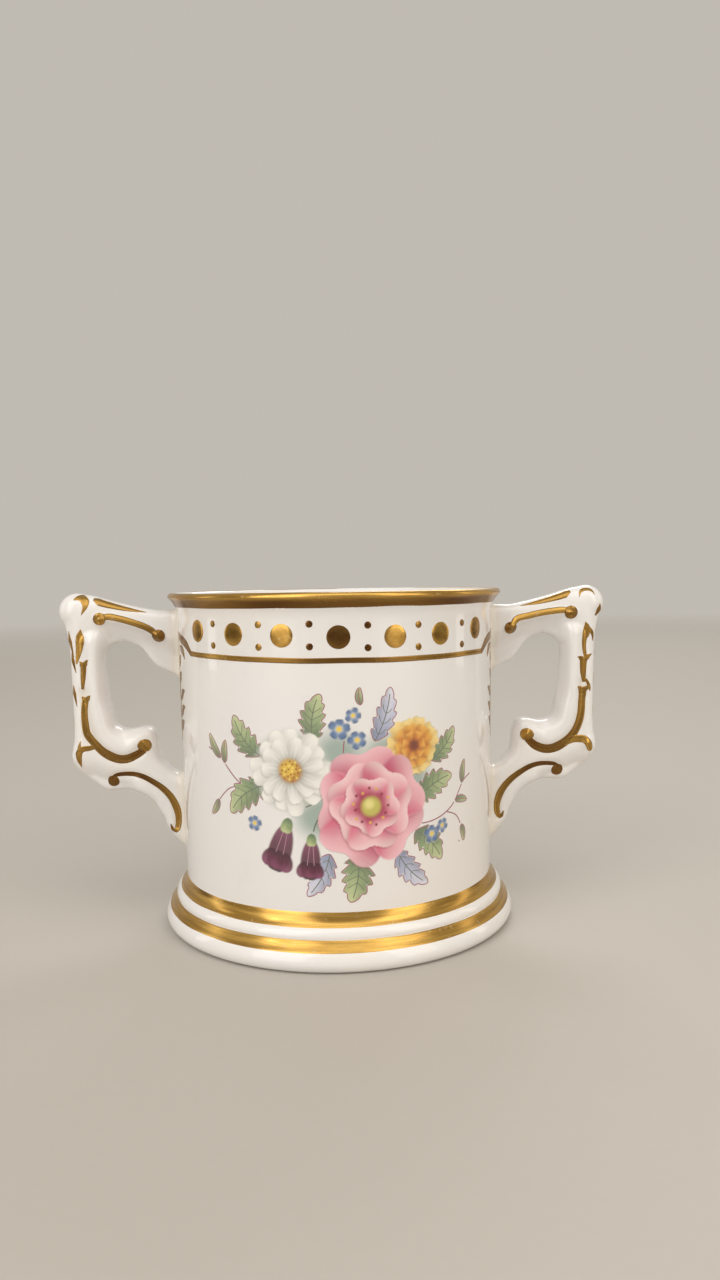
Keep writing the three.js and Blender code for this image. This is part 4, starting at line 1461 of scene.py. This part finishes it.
# %% [markdown]
# The enamel takes the gloss of the glaze below it. Where the wash thins out, its colour gives way to the
# glaze group's own tone, so the film ends without an edge. The washes are a grid wrapped on the wall, with
# the bare faces taken out, and the lines are strokes of the fine brush just above it.

# %% The painted films
SHEET_WIDE, SHEET_LOW, SHEET_HIGH, CELL = 35.0, 6.6, 30.4, 0.1
ENAMEL_FILM, WASH_LIFT, DRAWING_LIFT, BARE_UNDER = 0.02, 0.010, 0.018, 0.02
enamel, tree, shader, skin = glazed("painted_enamel")
painted = put(tree, "ShaderNodeAttribute", attribute_name="enamel")
covered = put(tree, "ShaderNodeAttribute", attribute_name="cover")
tone = blend(tree, covered.outputs["Fac"], skin.outputs["Color"], painted.outputs["Color"])
wire(shader, {"Base Color": tone})


def coloured(piece, colour, cover):
    """Write the enamel's colour and cover to a piece's vertices."""
    rgba = np.ones((len(piece.data.vertices), 4), np.float32)
    rgba[:, :3] = colour
    piece.data.attributes.new("enamel", "FLOAT_COLOR", "POINT").data.foreach_set("color", rgba.ravel())
    return marked(piece, "cover", cover)


def washes(name, spray):
    """Paint a spray on a grid, and keep the painted faces."""
    high = SHEET_HIGH - SHEET_LOW
    bpy.ops.object.select_all(action="DESELECT")
    bpy.ops.mesh.primitive_grid_add(
        x_subdivisions=round(SHEET_WIDE / CELL), y_subdivisions=round(high / CELL), size=1
    )
    sheet = bpy.context.object
    sheet.name = name
    flat = spots_of(sheet) * MM
    art = Painting(flat[:, 0] * SHEET_WIDE, SHEET_LOW + (flat[:, 1] + 0.5) * high)
    spray(art)
    move_to(sheet, np.column_stack([art.s, art.z, np.zeros(len(flat))]))
    coloured(sheet, art.ink / np.maximum(art.cover, 1e-3)[:, None], art.cover)
    corners = np.empty(len(sheet.data.loops), np.int32)
    sheet.data.loops.foreach_get("vertex_index", corners)
    bare = art.cover[corners].reshape(-1, 4).max(axis=1) < BARE_UNDER
    bpy.ops.object.mode_set(mode="EDIT")
    bpy.ops.mesh.select_mode(type="FACE")
    bpy.ops.mesh.select_all(action="DESELECT")
    bpy.ops.object.mode_set(mode="OBJECT")
    sheet.data.polygons.foreach_set("select", bare)
    bpy.ops.object.mode_set(mode="EDIT")
    bpy.ops.mesh.delete(type="FACE")
    bpy.ops.mesh.select_mode(type="VERT")
    bpy.ops.object.mode_set(mode="OBJECT")
    return sheet, art


for (face, turn), spray in zip(FACES, (front_spray, back_spray)):
    sheet, art = washes(f"{face}_flower_washes", spray)
    on_wall(sheet, turn, lift=WASH_LIFT)
    lines = []
    for run, wide, colour in art.drawn():
        line = on_wall(brush(run[::2], even(wide), across=2, step=0.2), turn, lift=DRAWING_LIFT)
        lines.append(coloured(line, colour, 0.9))
    for piece in (sheet, joined(f"{face}_flower_lines", lines)):
        thickened(piece, ENAMEL_FILM)
        bpy.ops.object.shade_smooth_by_angle(angle=SMOOTH_UNDER)
        dressed(piece, enamel, "glazed_china")

# %% [markdown]
# ## The studio
# A plain pale floor that fades into an even pale surround, so that no edge of it shows. It only has to be
# quiet: a little paper grain, and the shadow of the cup.

# %% Floor and surround
FLOOR_TONE = (0.52, 0.487, 0.44, 1)
SURROUND = (0.53, 0.497, 0.447, 1)
FLOOR_R, FADE_FROM, FADE_TO = 4, 0.22, 1.0
bpy.ops.object.select_all(action="DESELECT")
bpy.ops.mesh.primitive_circle_add(vertices=96, radius=FLOOR_R, fill_type="NGON", location=(0, 0, 0))
floor = bpy.context.object
floor.name = "studio_floor"
paper, tree, shader = new_finish("pale_paper")
where = put(tree, "ShaderNodeTexCoord").outputs["Object"]
grain = put(tree, "ShaderNodeTexNoise", {"Vector": where, "Scale": 900, "Detail": 4})
lighter = tuple(min(1, 1.03 * c) for c in FLOOR_TONE[:3]) + (1,)
wire(shader, {"Base Color": blend(tree, grain.outputs["Fac"], FLOOR_TONE, lighter), "Roughness": 0.6})
away = put(tree, "ShaderNodeVectorMath", {0: where}, operation="LENGTH")
share = ramp(tree, away.outputs["Value"], FADE_FROM, FADE_TO)
gone = put(tree, "ShaderNodeBsdfTransparent").outputs[0]
faded = put(tree, "ShaderNodeMixShader", {0: share, 1: shader.outputs[0], 2: gone})
wire(tree.nodes["Material Output"], {"Surface": faded.outputs[0]})
floor.data.materials.append(paper)
world = bpy.data.worlds.new("studio")
world.use_nodes = True
wire(world.node_tree.nodes["Background"], {"Color": SURROUND})
bpy.context.scene.world = world
print("stage:", floor.name)

# %% [markdown]
# Gold is nothing without something to reflect. A low dark curtain round the front gives it its depth. The
# curtain is seen only in reflections: it is hidden from the camera, and it neither shades the cup nor
# throws a shadow.

# %% A low dark curtain round the front
CURTAIN_R, CURTAIN_H, CURTAIN_SPREAD = 330, 20, 118
CLOTH = (0.05, 0.035, 0.022, 1)
spread = math.radians(CURTAIN_SPREAD)
one_vertex("dark_curtain", (-CURTAIN_R * math.sin(spread), -CURTAIN_R * math.cos(spread), 1))
bpy.ops.mesh.extrude_region_move(TRANSFORM_OT_translate={"value": (0, 0, CURTAIN_H * MM)})
bpy.ops.mesh.select_all(action="SELECT")
bpy.ops.mesh.spin(steps=48, angle=-2 * spread, center=(0, 0, 0), axis=(0, 0, 1))
bpy.ops.object.mode_set(mode="OBJECT")
curtain = bpy.context.object
drape, tree, shader = new_finish("dark_cloth")
wire(shader, {"Base Color": CLOTH, "Roughness": 0.9})
curtain.data.materials.append(drape)
curtain.visible_camera = False
curtain.visible_diffuse = False
curtain.visible_shadow = False
turns = np.degrees(np.arctan2(spots_of(curtain)[:, 0], -spots_of(curtain)[:, 1]))
print("curtain from", round(turns.min()), "to", round(turns.max()), "degrees")

# %% [markdown]
# The lamps are soft, and hidden from the camera: a panel overhead, a large one on each side in front, and
# a light from behind. The large panels make the foot bands shine, two dim ones stand low in front for the
# frieze, a small window gives the glaze its sharp highlights, and a narrow strip at each side draws the
# thin upright highlights on the wall.


# %% Lamps
def softbox(name, place, aim, size, watts, hue=(1, 1, 1)):
    """A rectangular lamp at a place, turned towards a point; places in millimetres."""
    bpy.ops.object.light_add(type="AREA", location=[c * MM for c in place])
    lamp = bpy.context.object
    lamp.name = name
    lamp.data.shape = "RECTANGLE"
    lamp.data.size, lamp.data.size_y = size[0] * MM, size[1] * MM
    lamp.data.energy = watts
    lamp.data.color = hue
    towards = np.array(aim, float) - np.array(place, float)
    heading = math.atan2(towards[1], towards[0])
    tilt = math.atan2(np.hypot(towards[0], towards[1]), -towards[2])
    lamp.rotation_euler = (tilt, 0, heading - math.pi / 2)
    lamp.visible_camera = False


MIDDLE = (0, 0, 20)
COOL, WARM = (1.0, 0.99, 0.975), (1.0, 0.94, 0.86)
softbox("overhead_panel", (10, -220, 500), MIDDLE, (600, 330), 0.66, COOL)
softbox("left_front_panel", (-240, -285, 195), MIDDLE, (240, 390), 0.57, COOL)
softbox("right_front_panel", (270, -258, 195), MIDDLE, (200, 390), 0.42, WARM)
softbox("left_low_panel", (-185, -255, 11), (0, 0, 11), (90, 20), 0.0045, WARM)
softbox("right_low_panel", (185, -255, 11), (0, 0, 11), (90, 20), 0.0045, WARM)
softbox("small_window", (-330, -250, 330), MIDDLE, (36, 54), 0.045, COOL)
softbox("left_strip", (-298, 31, 100), (0, 0, 100), (46, 198), 0.042, COOL)
softbox("right_strip", (298, 31, 100), (0, 0, 100), (46, 198), 0.040, WARM)
softbox("back_softbox", (150, 520, 420), MIDDLE, (300, 200), 0.8)

# %% [markdown]
# The camera stands three cup heights in front, just above the lip, a touch to the left, and is held a
# degree off level, as it was for the photograph.

# %% Camera
FRAME_H, FOCAL, SENSOR = 1280, 952.1, 36
STAND_OFF, EYE_H = 118.409, 41.273
BESIDE, HEADING, PITCH, ROLL_DEG = -1.273, 2.763, 3.637, 0.93
bpy.ops.object.camera_add()
camera = bpy.context.object
camera.name = "photo_camera"
camera.data.sensor_width = SENSOR
camera.data.lens = SENSOR * FOCAL / FRAME_H
camera.data.clip_start = 0.005
eye = (STAND_OFF * math.sin(math.radians(BESIDE)), -STAND_OFF * math.cos(math.radians(BESIDE)), EYE_H)
camera.matrix_world = (
    Matrix.Translation([c * MM for c in eye])
    @ Matrix.Rotation(math.radians(-HEADING), 4, "Z")
    @ Matrix.Rotation(math.radians(90 - PITCH), 4, "X")
    @ Matrix.Rotation(math.radians(-ROLL_DEG), 4, "Z")
)
bpy.context.scene.camera = camera
bpy.context.scene.view_settings.view_transform = "Standard"
print("camera at", [round(c, 1) for c in eye], "mm")
